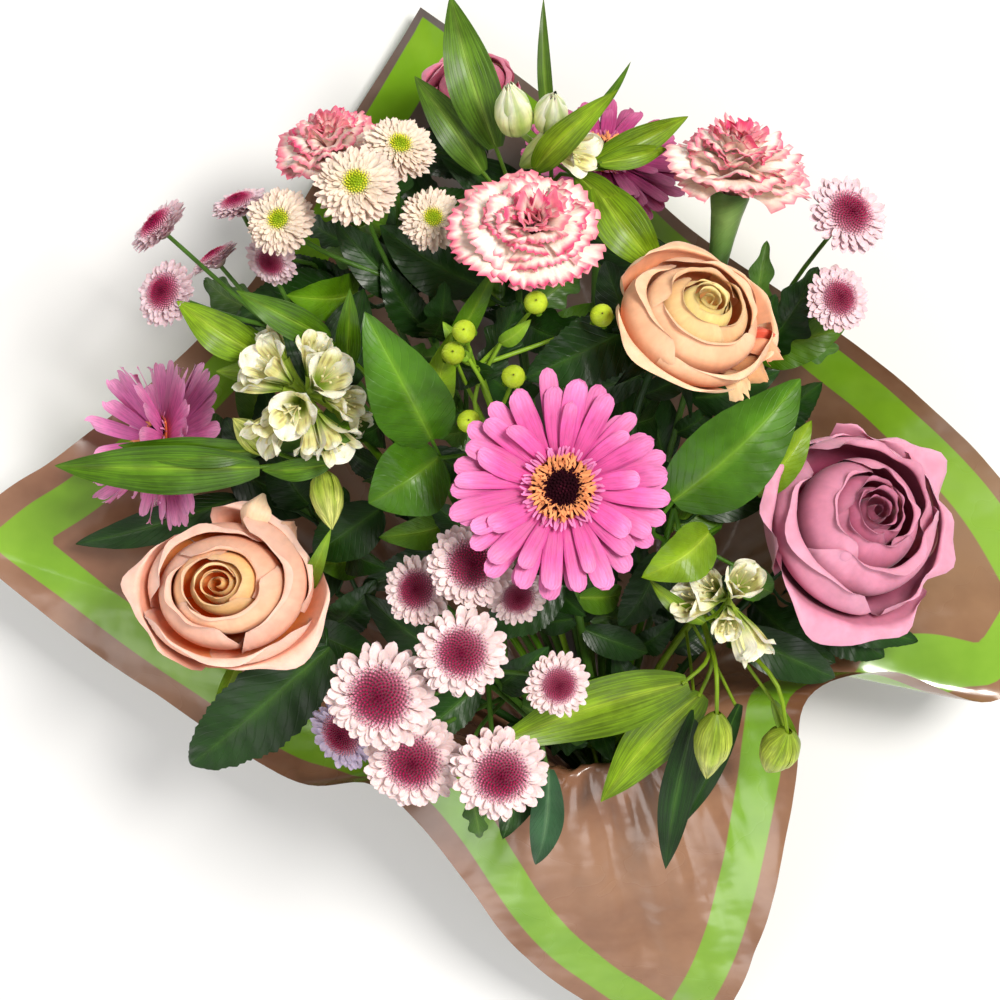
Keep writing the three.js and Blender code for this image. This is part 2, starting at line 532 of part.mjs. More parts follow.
// ---- the film ----
// Points along the rim: each side of the square is a smooth run, and the corners stay sharp.
function rimPoints() {
  return CORNERS.flatMap((from, side) => {
    const to = side + 1 < CORNERS.length ? CORNERS[side + 1] : RIM.length;
    const spots = [];
    for (let i = from; i <= to; i++) spots.push(V(RIM[i % RIM.length]));
    return new THREE.CatmullRomCurve3(spots).getSpacedPoints(SIDE_STEPS).slice(0, SIDE_STEPS);
  });
}
const rim = rimPoints();
const neckRadius = bundleRadius + NECK_CLEAR;

// The film's middle surface: rows 0 and 1 lie under the tie, row -1 is the skirt's edge and the last row the rim.
function filmPoint(column, row) {
  const angle = FIRST_CORNER_ANGLE + TURN * column / rim.length;
  const around = sideways.clone().multiplyScalar(Math.cos(angle)).addScaledVector(upwards, Math.sin(angle));
  const gather = (column % 2 ? PLEAT : -PLEAT) * Math.max(0, 1 - Math.abs(row - 0.5) / 2.5);
  const along = row < 0 ? -SKIRT : (row < 1 ? -TIE_WIDTH : TIE_WIDTH) * 0.7;
  if (row <= 1) {
    const wide = row < 0 ? 1.3 : 1;
    return tie.clone().addScaledVector(axis, along).addScaledVector(around, (neckRadius + gather) * wide);
  }
  const neck = tie.clone().addScaledVector(axis, along).addScaledVector(around, neckRadius);
  const cone = tie.clone().addScaledVector(axis, CONE_REACH).addScaledVector(around, neckRadius + CONE_FLARE);
  const t = (row - 1) / FILM_ROWS;
  const spot = new THREE.CatmullRomCurve3([neck, cone, rim[column]]).getPoint(t).addScaledVector(around, gather);
  spot.z -= (SAG + UNDER_SAG * Math.max(0, -around.z)) * Math.sin(Math.PI * t);
  spot.z = Math.max(spot.z, FILM / 2);
  return spot;
}

function filmSolid(thickness) {
  const columns = rim.length;
  const rows = FILM_ROWS + 3;
  const spots = [];
  for (let j = 0; j < rows; j++) {
    for (let i = 0; i < columns; i++) spots.push(filmPoint(i, j - 1));
  }
  const at = (i, j) => j * columns + (i + columns) % columns;
  const sheets = [];
  for (let j = 0; j + 1 < rows; j++) {
    for (let i = 0; i < columns; i++) {
      sheets.push([at(i, j), at(i + 1, j), at(i + 1, j + 1)], [at(i, j), at(i + 1, j + 1), at(i, j + 1)]);
    }
  }
  const normals = spots.map(() => new THREE.Vector3());
  for (const [a, b, c] of sheets) {
    const face = spots[b].clone().sub(spots[a]).cross(spots[c].clone().sub(spots[a]));
    for (const k of [a, b, c]) normals[k].add(face);
  }
  const shift = (sign) => spots.map((spot, k) => spot.clone()
    .addScaledVector(normals[k].clone().normalize(), sign * thickness / 2).toArray());
  const under = spots.length;
  const faces = sheets.flatMap(([a, b, c]) => [[a, b, c], [c + under, b + under, a + under]]);
  for (let i = 0; i < columns; i++) {
    for (const [p, q] of [[at(i, 0), at(i + 1, 0)], [at(i + 1, rows - 1), at(i, rows - 1)]]) {
      faces.push([q, p, p + under], [q, p + under, q + under]);
    }
  }
  return solid([...shift(1), ...shift(-1)], faces);
}
addMesh('wrap', geometryOf(filmSolid(FILM)), 0xa37d69, 0.25);
const filmRoom = filmSolid(FILM + 2 * CLEAR);

// The tie: a flat band round the gathered neck.
const tieInner = neckRadius + PLEAT + FILM / 2 + CLEAR;
const tieRing = [[tieInner, -TIE_WIDTH / 2], [tieInner + TIE_THICK, -TIE_WIDTH / 2 + 1],
  [tieInner + TIE_THICK, TIE_WIDTH / 2 - 1], [tieInner, TIE_WIDTH / 2], [tieInner, -TIE_WIDTH / 2]];
const tieMesh = addMesh('tie', geometryOf(lathe(tieRing, 20)), 0x8fbf3a, 0.6);
tieMesh.position.copy(tie);
tieMesh.quaternion.copy(frameOf(axis.toArray()));

// ---- stems and their leaves ----
// A leaf: pointed at both ends, folded a little along its rib, bowed, with lobes along its edge if it is cut.
function leafBlade(root, tip, width, bow, lobes, thickness) {
  const from = V(root);
  const way = V(tip).sub(from);
  const side = new THREE.Vector3().crossVectors(way, Z).normalize();
  const lift = new THREE.Vector3().crossVectors(side, way).normalize();
  const along = lobes ? 2 * lobes : (width > 21 ? 4 : 3);
  const end = 0.06;
  return blade((u, v) => {
    const swell = Math.sin(Math.PI * Math.min(1, 0.1 + 0.9 * v ** 0.8)) * (1 - end) + end;
    const cut = lobes && Math.round(v * along) % 2 ? 1 : 0.82;
    const half = (u - 0.5) * width * Math.max(swell, end) * cut;
    return from.clone().addScaledVector(way, v).addScaledVector(side, half)
      .addScaledVector(lift, bow * Math.sin(Math.PI * v) + Math.abs(half) * 0.28);
  }, 2, along, thickness);
}

const FOOT = { rose: 0.94, carnation: 1.4, gerbera: 0.25 }; // how far below its bloom's middle a stem enters the calyx

function calyxOf(kind, spot) {
  const size = spot.r;
  const place = (body) => placed(body, spot.at.toArray(), spot.face.toArray(), 0);
  if (kind === 'carnation') {
    return place(lathe([[0, -1.5 * size], [0.12 * size, -1.45 * size], [0.2 * size, -0.8 * size], [0.26 * size, -0.4 * size],
      [0, -0.3 * size]], 8));
  }
  if (kind === 'gerbera') {
    return place(lathe([[0, -0.3 * size], [0.14 * size, -0.28 * size], [0.24 * size, -0.1 * size], [0, -0.05 * size]], 10));
  }
  const parts = [lathe([[0, -0.98 * size], [0.15 * size, -0.94 * size], [0.2 * size, -0.8 * size], [0, -0.7 * size]], 6)];
  for (let k = 0; k < 5; k++) {
    const angle = TURN * k / 5;
    const out = new THREE.Vector3(Math.cos(angle), Math.sin(angle), 0);
    const side = new THREE.Vector3(-out.y, out.x, 0);
    parts.push(blade((u, v) => out.clone().multiplyScalar((0.08 + 0.54 * v) * size)
      .addScaledVector(side, (u - 0.5) * 0.22 * size * (1.05 - v))
      .setZ((-0.82 - 0.12 * v * v) * size), 1, 1, BLADE));
  }
  return place(join(parts));
}

for (const { name, r } of [...BLOOMS, ...GERBERAS]) bloomSpot[name].r = r;

// The tubes of one spray: the main stem, and a branch from its fork to every further head, leaf, bud and berry.
function tubesOf(spray, slot, grow) {
  const lone = !spray.fork;
  const spot = lone ? bloomSpot[spray.heads[0]] : null;
  const foot = FOOT[spray.calyx] ?? 0;
  const goal = goalOf(spray).clone();
  if (foot) goal.addScaledVector(spot.face, -foot * spot.r);
  const arrive = lone ? spot.face : goal.clone().sub(tie).normalize();
  const path = stemPath(slot, goal, arrive, foot ? 0.14 : 0.25);
  if (foot) path.push(goal.clone().addScaledVector(spot.face, 0.12 * spot.r));
  const parts = [tube(path, spray.thick / 2 + grow, 7, 5)];
  let grown = 0;
  const branch = (to, toward, radius) => {
    grown += 1;
    const from = path[path.length - (lone ? 3 : 1 + grown % 3)];
    const bend = to.clone().addScaledVector(toward, -0.3 * to.distanceTo(from));
    parts.push(tube([from, bend.lerp(from, 0.25), to], radius + grow, 2, 3));
  };
  if (!lone) {
    for (const head of spray.heads) branch(bloomSpot[head].at, bloomSpot[head].face, 1.3);
  }
  for (const [root, tip] of spray.leaves) {
    const target = V(root);
    const inLeaf = target.clone().lerp(V(tip), 0.04);
    branch(inLeaf, V(tip).sub(target).normalize(), 1.2);
  }
  for (const [base, tip] of spray.buds ?? []) branch(V(base).lerp(V(tip), 0.1), V(tip).sub(V(base)).normalize(), 1.2);
  for (const berry of spray.berries ?? []) branch(V(berry), new THREE.Vector3(0, 0.3, 0.95), 1.1);
  return parts;
}

const bloomRooms = Object.values(rooms);
const tubes = SPRAYS.map((spray, k) => join(tubesOf(spray, slots[k], 0)));
const tubeRooms = SPRAYS.map((spray, k) => join(tubesOf(spray, slots[k], CLEAR)));
const leafRooms = SPRAYS.map(() => []);
SPRAYS.forEach((spray, k) => {
  let body = tubes[k];
  for (const [base, tip, radius] of spray.buds ?? []) body = body.add(spindle(base, tip, radius));
  for (const berry of spray.berries ?? []) {
    const [x, y, z] = berry;
    body = body.add(spindle([x, y - 2, z - 6], [x, y + 2, z + 6], 5.4, 6));
  }
  if (spray.calyx) body = body.add(calyxOf(spray.calyx, bloomSpot[spray.heads[0]]));
  body = largest(cutBy(body, bloomRooms));
  const others = tubeRooms.filter((room, i) => i !== k);
  const earlier = leafRooms.slice(0, k).flat();
  for (const [root, tip, width, bow, lobes] of spray.leaves) {
    const whole = leafBlade(root, tip, width, bow, lobes, BLADE);
    const rest = cutBy(whole, [...bloomRooms, ...others, ...earlier, filmRoom]);
    const kept = pieceAt(rest, V(root));
    if (!kept) continue;
    body = body.add(kept);
    leafRooms[k].push(leafBlade(root, tip, width, bow, lobes, BLADE + 2 * CLEAR));
  }
  addMesh(spray.name, geometryOf(largest(body)), spray.color, 0.6);
});

export default group;
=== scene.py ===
import math

import bpy
import numpy as np
from mathutils import Matrix, Quaternion, Vector
from mathutils.bvhtree import BVHTree


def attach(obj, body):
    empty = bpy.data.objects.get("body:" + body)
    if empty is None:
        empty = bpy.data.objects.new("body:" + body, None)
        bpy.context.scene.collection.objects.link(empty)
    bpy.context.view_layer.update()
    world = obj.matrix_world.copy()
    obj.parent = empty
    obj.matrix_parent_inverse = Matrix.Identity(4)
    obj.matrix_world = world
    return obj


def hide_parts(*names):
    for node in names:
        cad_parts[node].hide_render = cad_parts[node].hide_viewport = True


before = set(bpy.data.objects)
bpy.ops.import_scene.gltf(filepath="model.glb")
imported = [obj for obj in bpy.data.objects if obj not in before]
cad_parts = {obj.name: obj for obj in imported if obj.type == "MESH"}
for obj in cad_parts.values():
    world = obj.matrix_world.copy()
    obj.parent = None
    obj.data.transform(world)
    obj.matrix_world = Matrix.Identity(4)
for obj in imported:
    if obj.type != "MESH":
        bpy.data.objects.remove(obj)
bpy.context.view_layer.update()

TURN = 2 * math.pi
GOLDEN = math.pi * (3 - math.sqrt(5))
TO_ORIGIN = np.array([-8.0, 82.5, 0.0])

# The photograph: the pixel in its middle, pixels for a millimetre at 1 mm from the lens, and its camera,
# which leans 15 degrees and looks from 1 m away at the point that is LOOK_HEIGHT above the part's own origin.
PHOTO_MIDDLE = 500
FOCAL_PIXELS = 2150
CAMERA_FAR = 1000
LOOK_HEIGHT = 190
TILT = math.radians(15)

# ---- the bouquet's own numbers, as in the part ----
TIE = np.array([58.0, -198, 53])
AXIS = np.array([-0.17, 0.91, 0.34])
AXIS /= np.linalg.norm(AXIS)
STEM_BELOW_TIE = 110
SLOT_GAP = 0.85
FILM = 1.0
NECK_CLEAR = 4.2
PLEAT = 1.5
TIE_WIDTH = 12
SKIRT = 34
CLEAR = 0.45
FOOT = {"rose": 0.94, "carnation": 1.4, "gerbera": 0.25}

# kind, middle, way it faces, radius
BLOOMS = {
    "rose_peach_left": ("rose", [-131, -50, 166], [-0.1, 0.44, 0.89], 46),
    "rose_peach_right": ("rose", [86, 88, 205], [0.36, 0.65, 0.67], 42),
    "rose_mauve_right": ("rose", [171, -19, 160], [0.31, 0.48, 0.82], 49),
    "rose_mauve_top": ("rose", [-15, 180, 88], [-0.15, 0.78, 0.6], 29),
    "carnation_centre": ("carnation", [14, 128, 200], [0.1, 0.6, 0.8], 36),
    "carnation_right": ("carnation", [108, 150, 160], [0.1, 0.93, 0.3], 35),
    "carnation_left": ("carnation", [-79, 158, 138], [-0.2, 0.9, 0.39], 27),
    "mum_pale_1": ("mum", [-64, 146, 192], [0, 0.49, 0.87], 19),
    "mum_pale_2": ("mum", [-46, 160, 170], [0.2, 0.69, 0.72], 17),
    "mum_pale_3": ("mum", [-100, 128, 178], [-0.15, 0.44, 0.89], 16),
    "mum_pale_4": ("mum", [-31, 128, 172], [0.15, 0.44, 0.89], 15),
    "mum_left_1": ("mum", [-158, 123, 160], [-0.61, 0.72, 0.33], 16),
    "mum_left_2": ("mum", [-122, 132, 150], [-0.3, 0.91, 0.28], 14),
    "mum_left_3": ("mum", [-154, 94, 172], [-0.48, 0.41, 0.78], 16),
    "mum_left_4": ("mum", [-136, 104, 132], [-0.5, 0.82, 0.1], 13),
    "mum_left_5": ("mum", [-107, 106.5, 152], [-0.27, -0.3, 0.83], 13),
    "mum_right_1": ("mum", [160, 129, 165], [0.3, 0.53, 0.8], 19.5),
    "mum_right_2": ("mum", [158, 89, 158], [0.29, 0.34, 0.9], 16),
    "mum_front_1": ("mum", [-13, -22, 222], [0, 0.35, 0.94], 20),
    "mum_front_2": ("mum", [-38, -42, 196], [-0.37, 0.33, 0.87], 17),
    "mum_front_3": ("mum", [8, -45, 196], [0.19, -0.03, 0.98], 14),
    "mum_front_4": ("mum", [-17, -57, 241], [-0.05, 0.21, 0.98], 21),
    "mum_front_5": ("mum", [-54, -81, 232], [-0.15, 0.16, 0.98], 25.5),
    "mum_front_6": ("mum", [-74, -113, 196], [-0.47, -0.05, 0.88], 18),
    "mum_front_7": ("mum", [-41, -122, 208], [0, 0.06, 1], 23.5),
    "mum_front_8": ("mum", [0, -122, 224], [0.1, 0.06, 0.99], 23),
    "mum_front_9": ("mum", [27, -86, 203], [0.2, 0.16, 0.97], 16),
}
GERBERAS = {
    "gerbera_front": ([27, 19, 240], [0.05, 0.24, 0.97], 48),
    "gerbera_left": ([-166, 12, 125], [-0.86, 0.28, 0.43], 44),
    "gerbera_top": ([52, 146, 85], [0.1, 0.8, 0.59], 41),
}
# bunch: heart, size, trumpets, buds
FLORETS = {
    "alstroemeria_left_florets": ([-89, 50, 188], 13,
        [[-104, 66, 204], [-78, 62, 208], [-92, 48, 214], [-106, 36, 202], [-76, 32, 204]], []),
    "alstroemeria_top_florets": ([16, 160, 150], 12, [[34, 158, 168]],
        [([8, 166, 160], [4, 190, 188], 9), ([22, 168, 160], [24, 186, 190], 8), ([10, 150, 150], [40, 176, 172], 7)]),
    "alstroemeria_right_florets": ([108, -50, 184], 14, [[90, -46, 200], [112, -36, 204], [118, -68, 194]], []),
}


def mums(group, *numbers):
    return [f"mum_{group}_{n}" for n in numbers]


# The stems that carry one bloom: thickness, calyx, green, leaves.
# A leaf is its root, tip, width, bow, kind, and its green where that isn't the spray's.
LONE_STEMS = {
    "rose_peach_left": (4.6, "rose", "deep", [([-84, -86, 150], [-159, -158, 128], 44, 10, "rose")]),
    "rose_peach_right": (4.6, "rose", "deep", [([66, 80, 172], [12, 55, 178], 34, 8, "rose")]),
    "rose_mauve_right": (4.8, "rose", "deep", [([150, -72, 110], [214, -96, 112], 30, 8, "rose")]),
    "rose_mauve_top": (4.4, "rose", "deep", [([-30, 120, 70], [-84, 146, 58], 32, 8, "rose")]),
    **{"carnation_" + side: (3.6, "carnation", "grey", []) for side in ("centre", "right", "left")},
    **{"gerbera_" + side: (5, "gerbera", "stem", []) for side in ("front", "left", "top")},
}
SPRAYS = [dict(name="stem_" + head, thick=thick, heads=[head], calyx=calyx, green=green, leaves=leaves)
          for head, (thick, calyx, green, leaves) in LONE_STEMS.items()]
SPRAYS += [
    dict(name="spray_mum_pale", thick=4, green="stem", fork=[-42, 92, 140], heads=mums("pale", 1, 2, 3, 4),
         leaves=[([-46, 100, 140], [-84, 108, 128], 16, 5, "mum")]),
    dict(name="spray_mum_left", thick=4, green="stem", fork=[-84, 62, 112], heads=mums("left", 1, 2, 3, 4, 5),
         leaves=[([-88, 66, 112], [-124, 66, 96], 16, 5, "mum")]),
    dict(name="spray_mum_right", thick=4, green="stem", fork=[122, 56, 118], heads=mums("right", 1, 2),
         leaves=[([126, 60, 118], [168, 56, 110], 20, 5, "mum"), ([122, 66, 122], [128, 112, 128], 16, 5, "mum")]),
    dict(name="spray_mum_front", thick=4.4, green="stem", fork=[-14, -98, 150],
         heads=mums("front", 8, 4, 1, 2, 3, 5, 6, 7, 9),
         leaves=[([24, -142, 170], [18, -202, 152], 17, 5, "blade", "teal"),
                 ([-16, -146, 176], [-10, -182, 164], 13, 4, "mum")]),
    dict(name="spray_alstroemeria_left", thick=4.2, green="bright", heads=["alstroemeria_left_florets"],
         leaves=[([-112, 14, 184], [-210, 12, 174], 24, 8, "blade"),
                 ([-110, 66, 180], [-148, 92, 182], 20, 6, "blade", "fresh"),
                 ([-78, 76, 190], [-118, 100, 202], 16, 6, "blade")],
         buds=[([-108, 20, 176], [-122, 40, 196], 7), ([-84, 8, 168], [-78, -12, 196], 8)]),
    dict(name="spray_alstroemeria_top", thick=4.2, green="blue", heads=["alstroemeria_top_florets"],
         leaves=[([-2, 158, 146], [-23, 227, 140], 24, 10, "blade"), ([-8, 146, 140], [-40, 190, 134], 18, 8, "blade"),
                 ([16, 150, 164], [52, 188, 192], 15, 8, "blade", "fresh"),
                 ([24, 160, 140], [20, 226, 142], 7, 6, "blade"),
                 ([44, 142, 160], [76, 102, 166], 24, 10, "blade", "fresh")]),
    dict(name="spray_alstroemeria_right", thick=4.2, green="fresh", heads=["alstroemeria_right_florets"],
         leaves=[([90, -92, 184], [-4, -126, 180], 24, -12, "blade"),
                 ([98, -102, 172], [50, -162, 166], 23, -10, "blade")],
         buds=[([104, -106, 188], [101, -144, 176], 9.5), ([139, -117, 184], [132, -145, 166], 10)]),
    dict(name="spray_berries", thick=3.4, green="lime", fork=[-10, 62, 182], heads=[],
         leaves=[([-14, 66, 188], [-26, 84, 190], 9, 3, "broad"), ([0, 74, 190], [14, 86, 196], 8, 3, "broad")],
         berries=[[16, 96, 208], [-16, 84, 214], [-21, 73, 208], [46, 88, 196], [6, 64, 216], [-14, 43, 214]]),
    dict(name="foliage_left", thick=3.6, green="glossy", fork=[-36, 20, 168], heads=[],
         leaves=[([-31, 31, 200], [-59, 94, 226], 36, 10, "broad"), ([-28, 22, 196], [-60, 2, 204], 38, 8, "broad"),
                 ([-30, 40, 176], [-22, 80, 196], 16, 5, "broad", "fresh")]),
    dict(name="foliage_low", thick=3.6, green="deep", fork=[-85, -78, 86], heads=[],
         leaves=[([-132, -20, 112], [-216, -46, 106], 20, 8, "broad"),
                 ([-58, -16, 146], [-92, -42, 140], 28, 8, "broad"),
                 ([-80, -50, 96], [-128, -96, 84], 26, 8, "broad")]),
    dict(name="foliage_right", thick=3.6, green="glossy", fork=[84, -12, 158], heads=[],
         leaves=[([80, 0, 192], [138, 57, 190], 42, 10, "broad"),
                 ([98, -16, 188], [66, -34, 202], 26, 8, "broad", "fresh"),
                 ([116, -78, 150], [168, -106, 140], 24, 8, "broad", "deep"),
                 ([112, -40, 160], [134, -58, 150], 18, 5, "broad")]),
]
# Leaves that are wider or narrower than their solids, by spray and number
LEAF_WIDER = {("spray_alstroemeria_right", 0): 1.3, ("spray_alstroemeria_right", 1): 1.2,
              ("stem_rose_mauve_right", 0): 0.8}
# Smaller leaves that the scene adds: root, tip, width, bow, kind, green
MORE_LEAVES = {
    "spray_alstroemeria_right": [
        ([96, -112, 168], [85, -210, 140], 18, 6, "blade", "deep"),
        ([118, -112, 160], [91, -182, 150], 11, 5, "blade", "deep"),
        ([132, -104, 176], [146, -136, 172], 8, 4, "blade", "fresh"),
        ([96, -58, 196], [70, -38, 192], 9, 4, "blade", "fresh")],
    "spray_alstroemeria_top": [
        ([40, 150, 150], [88, 172, 140], 15, 6, "blade", "fresh"),
        ([36, 146, 152], [66, 118, 170], 16, 6, "blade", "fresh"),
        ([30, 160, 146], [62, 196, 120], 5, 4, "blade", "bright"),
        ([46, 152, 155], [78, 158, 148], 11, 4, "blade", "fresh")],
    "spray_alstroemeria_left": [
        ([-71, 59, 180], [-68, 99, 190], 12, 4, "blade", "bright"),
        ([-79, 17, 190], [-111, 13, 185], 11, 4, "blade", "bright"),
        ([-112, 22, 184], [-178, 24, 182], 15, 5, "blade", "bright"),
        ([-60, 40, 188], [-84, 26, 206], 10, 4, "blade", "bright"),
        ([-96, 60, 176], [-132, 58, 176], 13, 4, "blade", "fresh")],
    "spray_berries": [([-23, 68, 180], [-1, 110, 190], 11, 4, "broad", "bright")],
    "foliage_right": [([122, -4, 165], [148, 31, 160], 17, 5, "broad", "fresh")],
    "stem_rose_peach_left": [
        ([-96, -58, 150], [-80, -18, 176], 9, 5, "blade", "lime"),
        ([-128, -92, 132], [-146, -130, 134], 8, 6, "blade", "lime")],
}
# The film's rim, the four corners of the sheet on it, and how it opens and hangs
RIM = [
    [-41, 217, 16], [31, 166, 14], [101, 105, 50], [165, 64, 84], [253, -11, 92], [300, -80, 90], [262, -135, 92],
    [197, -112, 112], [156, -118, 134], [153, -172, 122], [140, -290, 78], [112, -392, 20], [14, -290, 78],
    [-44, -186, 128], [-66, -166, 132], [-104, -174, 112], [-173, -140, 88], [-256, -75, 84], [-284, -47, 90],
    [-252, -21, 86], [-228, -6, 80], [-140, 66, 36], [-78, 160, 14],
]
CORNERS = [0, 5, 11, 18]
FIRST_CORNER_ANGLE = math.radians(-97)
CONE_REACH = 72
CONE_FLARE = 50
SAG = 8
UNDER_SAG = 24


# ---- vectors and curves ----
def unit(v):
    v = np.asarray(v, float)
    return v / np.maximum(np.linalg.norm(v, axis=-1, keepdims=True), 1e-12)


def turn_to(face, spin=0.0):
    q = Vector((0, 0, 1)).rotation_difference(Vector(face).normalized()) @ Quaternion((0, 0, 1), spin)
    return np.array(q.to_matrix())


def curve_at(points, t):
    """A point at t on the smooth curve through the points, which may be arrays of points."""
    last = len(points) - 1
    k = min(int(last * t), last - 1)
    w = last * t - k
    b, c = points[k], points[k + 1]
    a = points[k - 1] if k else 2 * b - c
    d = points[k + 2] if k + 2 <= last else 2 * c - b
    gap = [np.maximum(np.linalg.norm(q - p, axis=-1, keepdims=True), 1e-4) ** 0.5
           for p, q in ((a, b), (b, c), (c, d))]
    t1 = ((b - a) / gap[0] - (c - a) / (gap[0] + gap[1]) + (c - b) / gap[1]) * gap[1]
    t2 = ((c - b) / gap[1] - (d - b) / (gap[1] + gap[2]) + (d - c) / gap[2]) * gap[1]
    return b + t1 * w + (-3 * b + 3 * c - 2 * t1 - t2) * w ** 2 + (2 * b - 2 * c + t1 + t2) * w ** 3


def evenly(points, count):
    """count + 1 points at even distances along the smooth curve through the points."""
    points = [np.asarray(p, float) for p in points]
    dense = np.array([curve_at(points, t) for t in np.linspace(0, 1, 40 * (len(points) - 1) + 1)])
    run = np.concatenate([[0], np.cumsum(np.linalg.norm(np.diff(dense, axis=0), axis=1))])
    at = np.linspace(0, run[-1], count + 1)
    return np.stack([np.interp(at, run, dense[:, k]) for k in range(3)], axis=1)


def rgb(code):
    """A colour written as in a paint program, as the linear light that the shader takes."""
    c = np.array([code >> 16 & 255, code >> 8 & 255, code & 255]) / 255
    return np.where(c <= 0.04045, c / 12.92, ((c + 0.055) / 1.055) ** 2.4)


def tones(*codes):
    return tuple(rgb(code) for code in codes)


def smooth(low, high, x):
    t = np.clip((np.asarray(x, float) - low) / (high - low), 0, 1)
    return t * t * (3 - 2 * t)


def blend(a, b, t):
    return a + (b - a) * np.asarray(t)[..., None]


def bell(x, width):
    return np.exp(-(x / width) ** 2)


def arch(x):
    """Half a wave over x from 0 to 1, and nothing outside."""
    return np.sin(np.pi * np.clip(x, 0, 1))


def rise(x):
    """A quarter wave: from 0 at 0 to 1 at 1, and level after it."""
    return np.sin(np.pi / 2 * np.clip(x, 0, 1))


def rounded(close):
    """The half width of a round end, where close runs from 1 down to 0 at the very tip."""
    return np.sqrt(np.clip(1 - (1 - close) ** 2, 0, 1))


def swing(random, x):
    """A wave that starts anywhere."""
    return np.sin(x + random.uniform(0, TURN))


def net(columns, rows, hurry=None):
    """u across from -1 to 1 and v along from 0 to 1, as two grids. With hurry, the rows lie closer towards the tip."""
    u, v = np.meshgrid(np.linspace(-1, 1, columns), np.linspace(0, 1, rows))
    return (u, 1 - (1 - v) ** hurry) if hurry else (u, v)


def quads(index):
    """The four corners of every cell in a grid of point numbers."""
    return np.stack([index[:-1, :-1], index[:-1, 1:], index[1:, 1:], index[1:, :-1]], axis=-1).reshape(-1, 4)


# ---- meshes ----
class Shape:
    """Gathers sheets of points with a colour and a place in the grain, and makes one mesh of them."""

    def __init__(self):
        self.points, self.faces, self.tints, self.grain, self.count = [], [], [], [], 0

    def sheet(self, points, tint, closed=False, grain=None):
        rows, columns = points.shape[:2]
        if grain is None:
            grain = np.stack(np.meshgrid(np.linspace(0, 1, columns), np.linspace(0, 1, rows)), axis=-1)
        index = np.arange(rows * columns).reshape(rows, columns) + self.count
        if closed:
            index = np.concatenate([index, index[:, :1]], axis=1)
        self.points.append(points.reshape(-1, 3))
        self.tints.append(np.broadcast_to(tint, points.shape).reshape(-1, 3))
        self.grain.append(grain.reshape(-1, 2))
        self.faces.append(quads(index))
        self.count += rows * columns

    def make(self, name, material, node, slot):
        points = (np.concatenate(self.points) + TO_ORIGIN) / 1000
        mesh = bpy.data.meshes.new(name)
        mesh.from_pydata(points.tolist(), [], np.concatenate(self.faces).tolist())
        tints = np.clip(np.concatenate(self.tints), 0, 2)
        tints = np.concatenate([tints, np.ones((len(points), 1))], axis=1)
        mesh.attributes.new("tint", "FLOAT_COLOR", "POINT").data.foreach_set("color", tints.ravel())
        corner = np.zeros(len(mesh.loops), np.int32)
        mesh.loops.foreach_get("vertex_index", corner)
        mesh.uv_layers.new(name="grain").data.foreach_set("uv", np.concatenate(self.grain)[corner].ravel())
        mesh.polygons.foreach_set("use_smooth", [True] * len(mesh.polygons))
        mesh.materials.append(material)
        mesh.validate()
        obj = bpy.data.objects.new(name, mesh)
        bpy.context.scene.collection.objects.link(obj)
        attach(obj, "root")
        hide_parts(node)


class Place:
    """Where a bloom is in its shape. Its petals and knobs are given in shares of its radius, facing +Z."""

    def __init__(self, shape, r, turn, at, squeeze=1.0):
        self.shape, self.r, self.turn, self.at, self.squeeze = shape, r, turn, at, squeeze

    def put(self, points):
        return np.asarray(points, float) * self.r @ self.turn.T * [1, self.squeeze, 1] + self.at

    def petal(self, out, side, up, phi, tint):
        """A sheet from its points' distances out, to the side and up, turned by phi about the bloom's middle line."""
        cos, sin = np.cos(phi), np.sin(phi)
        self.shape.sheet(self.put(np.stack([out * cos - side * sin, out * sin + side * cos, up], axis=-1)), tint)

    def knob(self, low, high, radius, profile, tints, **form):
        knob(self.shape, self.put([0, 0, low]), self.put([0, 0, high]), radius * self.r, profile, tints, **form)


def tube(shape, path, radius, tint, sides=8, tip=False):
    """A round stem along the points of a path, closed at its end with tip. radius is one number or one a point."""
    path = np.asarray(path, float)
    radius = np.broadcast_to(np.asarray(radius, float), len(path))
    along = unit(np.gradient(path, axis=0))
    side = unit(np.cross(along[0], [0.3, 0.2, 0.93]))
    angle = np.arange(sides) * TURN / sides
    rings = []
    for k in range(len(path)):
        side = unit(side - along[k] * np.dot(side, along[k]))
        up = np.cross(along[k], side)
        rings.append(path[k] + radius[k] * (np.cos(angle)[:, None] * side + np.sin(angle)[:, None] * up))
    points = np.array(rings + [np.repeat(path[-1:], sides, axis=0)] * tip)
    if np.ndim(tint) == 2:
        tint = np.concatenate([tint] + [tint[-1:]] * tip)[:, None, :]
    shape.sheet(points, tint, closed=True)


def knob(shape, base, tip, radius, profile, tints, sides=10, ribs=0, deep=0.0):
    """A turned solid from base to tip: a bud, a berry, a calyx or a floret.
    profile is rows of (share of radius, share of length), and tints run from the base to the tip."""
    base, tip = np.asarray(base, float), np.asarray(tip, float)
    way = tip - base
    girth, height = np.asarray(profile, float).T[..., None]
    angle = np.arange(sides) * TURN / sides
    reach = girth * radius * (1 - deep * (0.5 + 0.5 * np.cos(ribs * angle)[None, :]) * np.sin(np.pi * height))
    local = np.stack([reach * np.cos(angle), reach * np.sin(angle),
                      np.broadcast_to(height * np.linalg.norm(way), reach.shape)], axis=-1)
    stops = np.linspace(0, 1, len(tints))
    tint = np.stack([np.interp(height, stops, np.array(tints)[:, k]) for k in range(3)], axis=-1)
    shape.sheet(local @ turn_to(unit(way)).T + base, tint, closed=True)


BERRY = [(0, 0), (0.55, 0.04), (0.88, 0.2), (1, 0.46), (0.92, 0.7), (0.6, 0.88), (0.24, 0.945), (0.1, 0.96),
         (0.05, 1.06), (0, 1.08)]


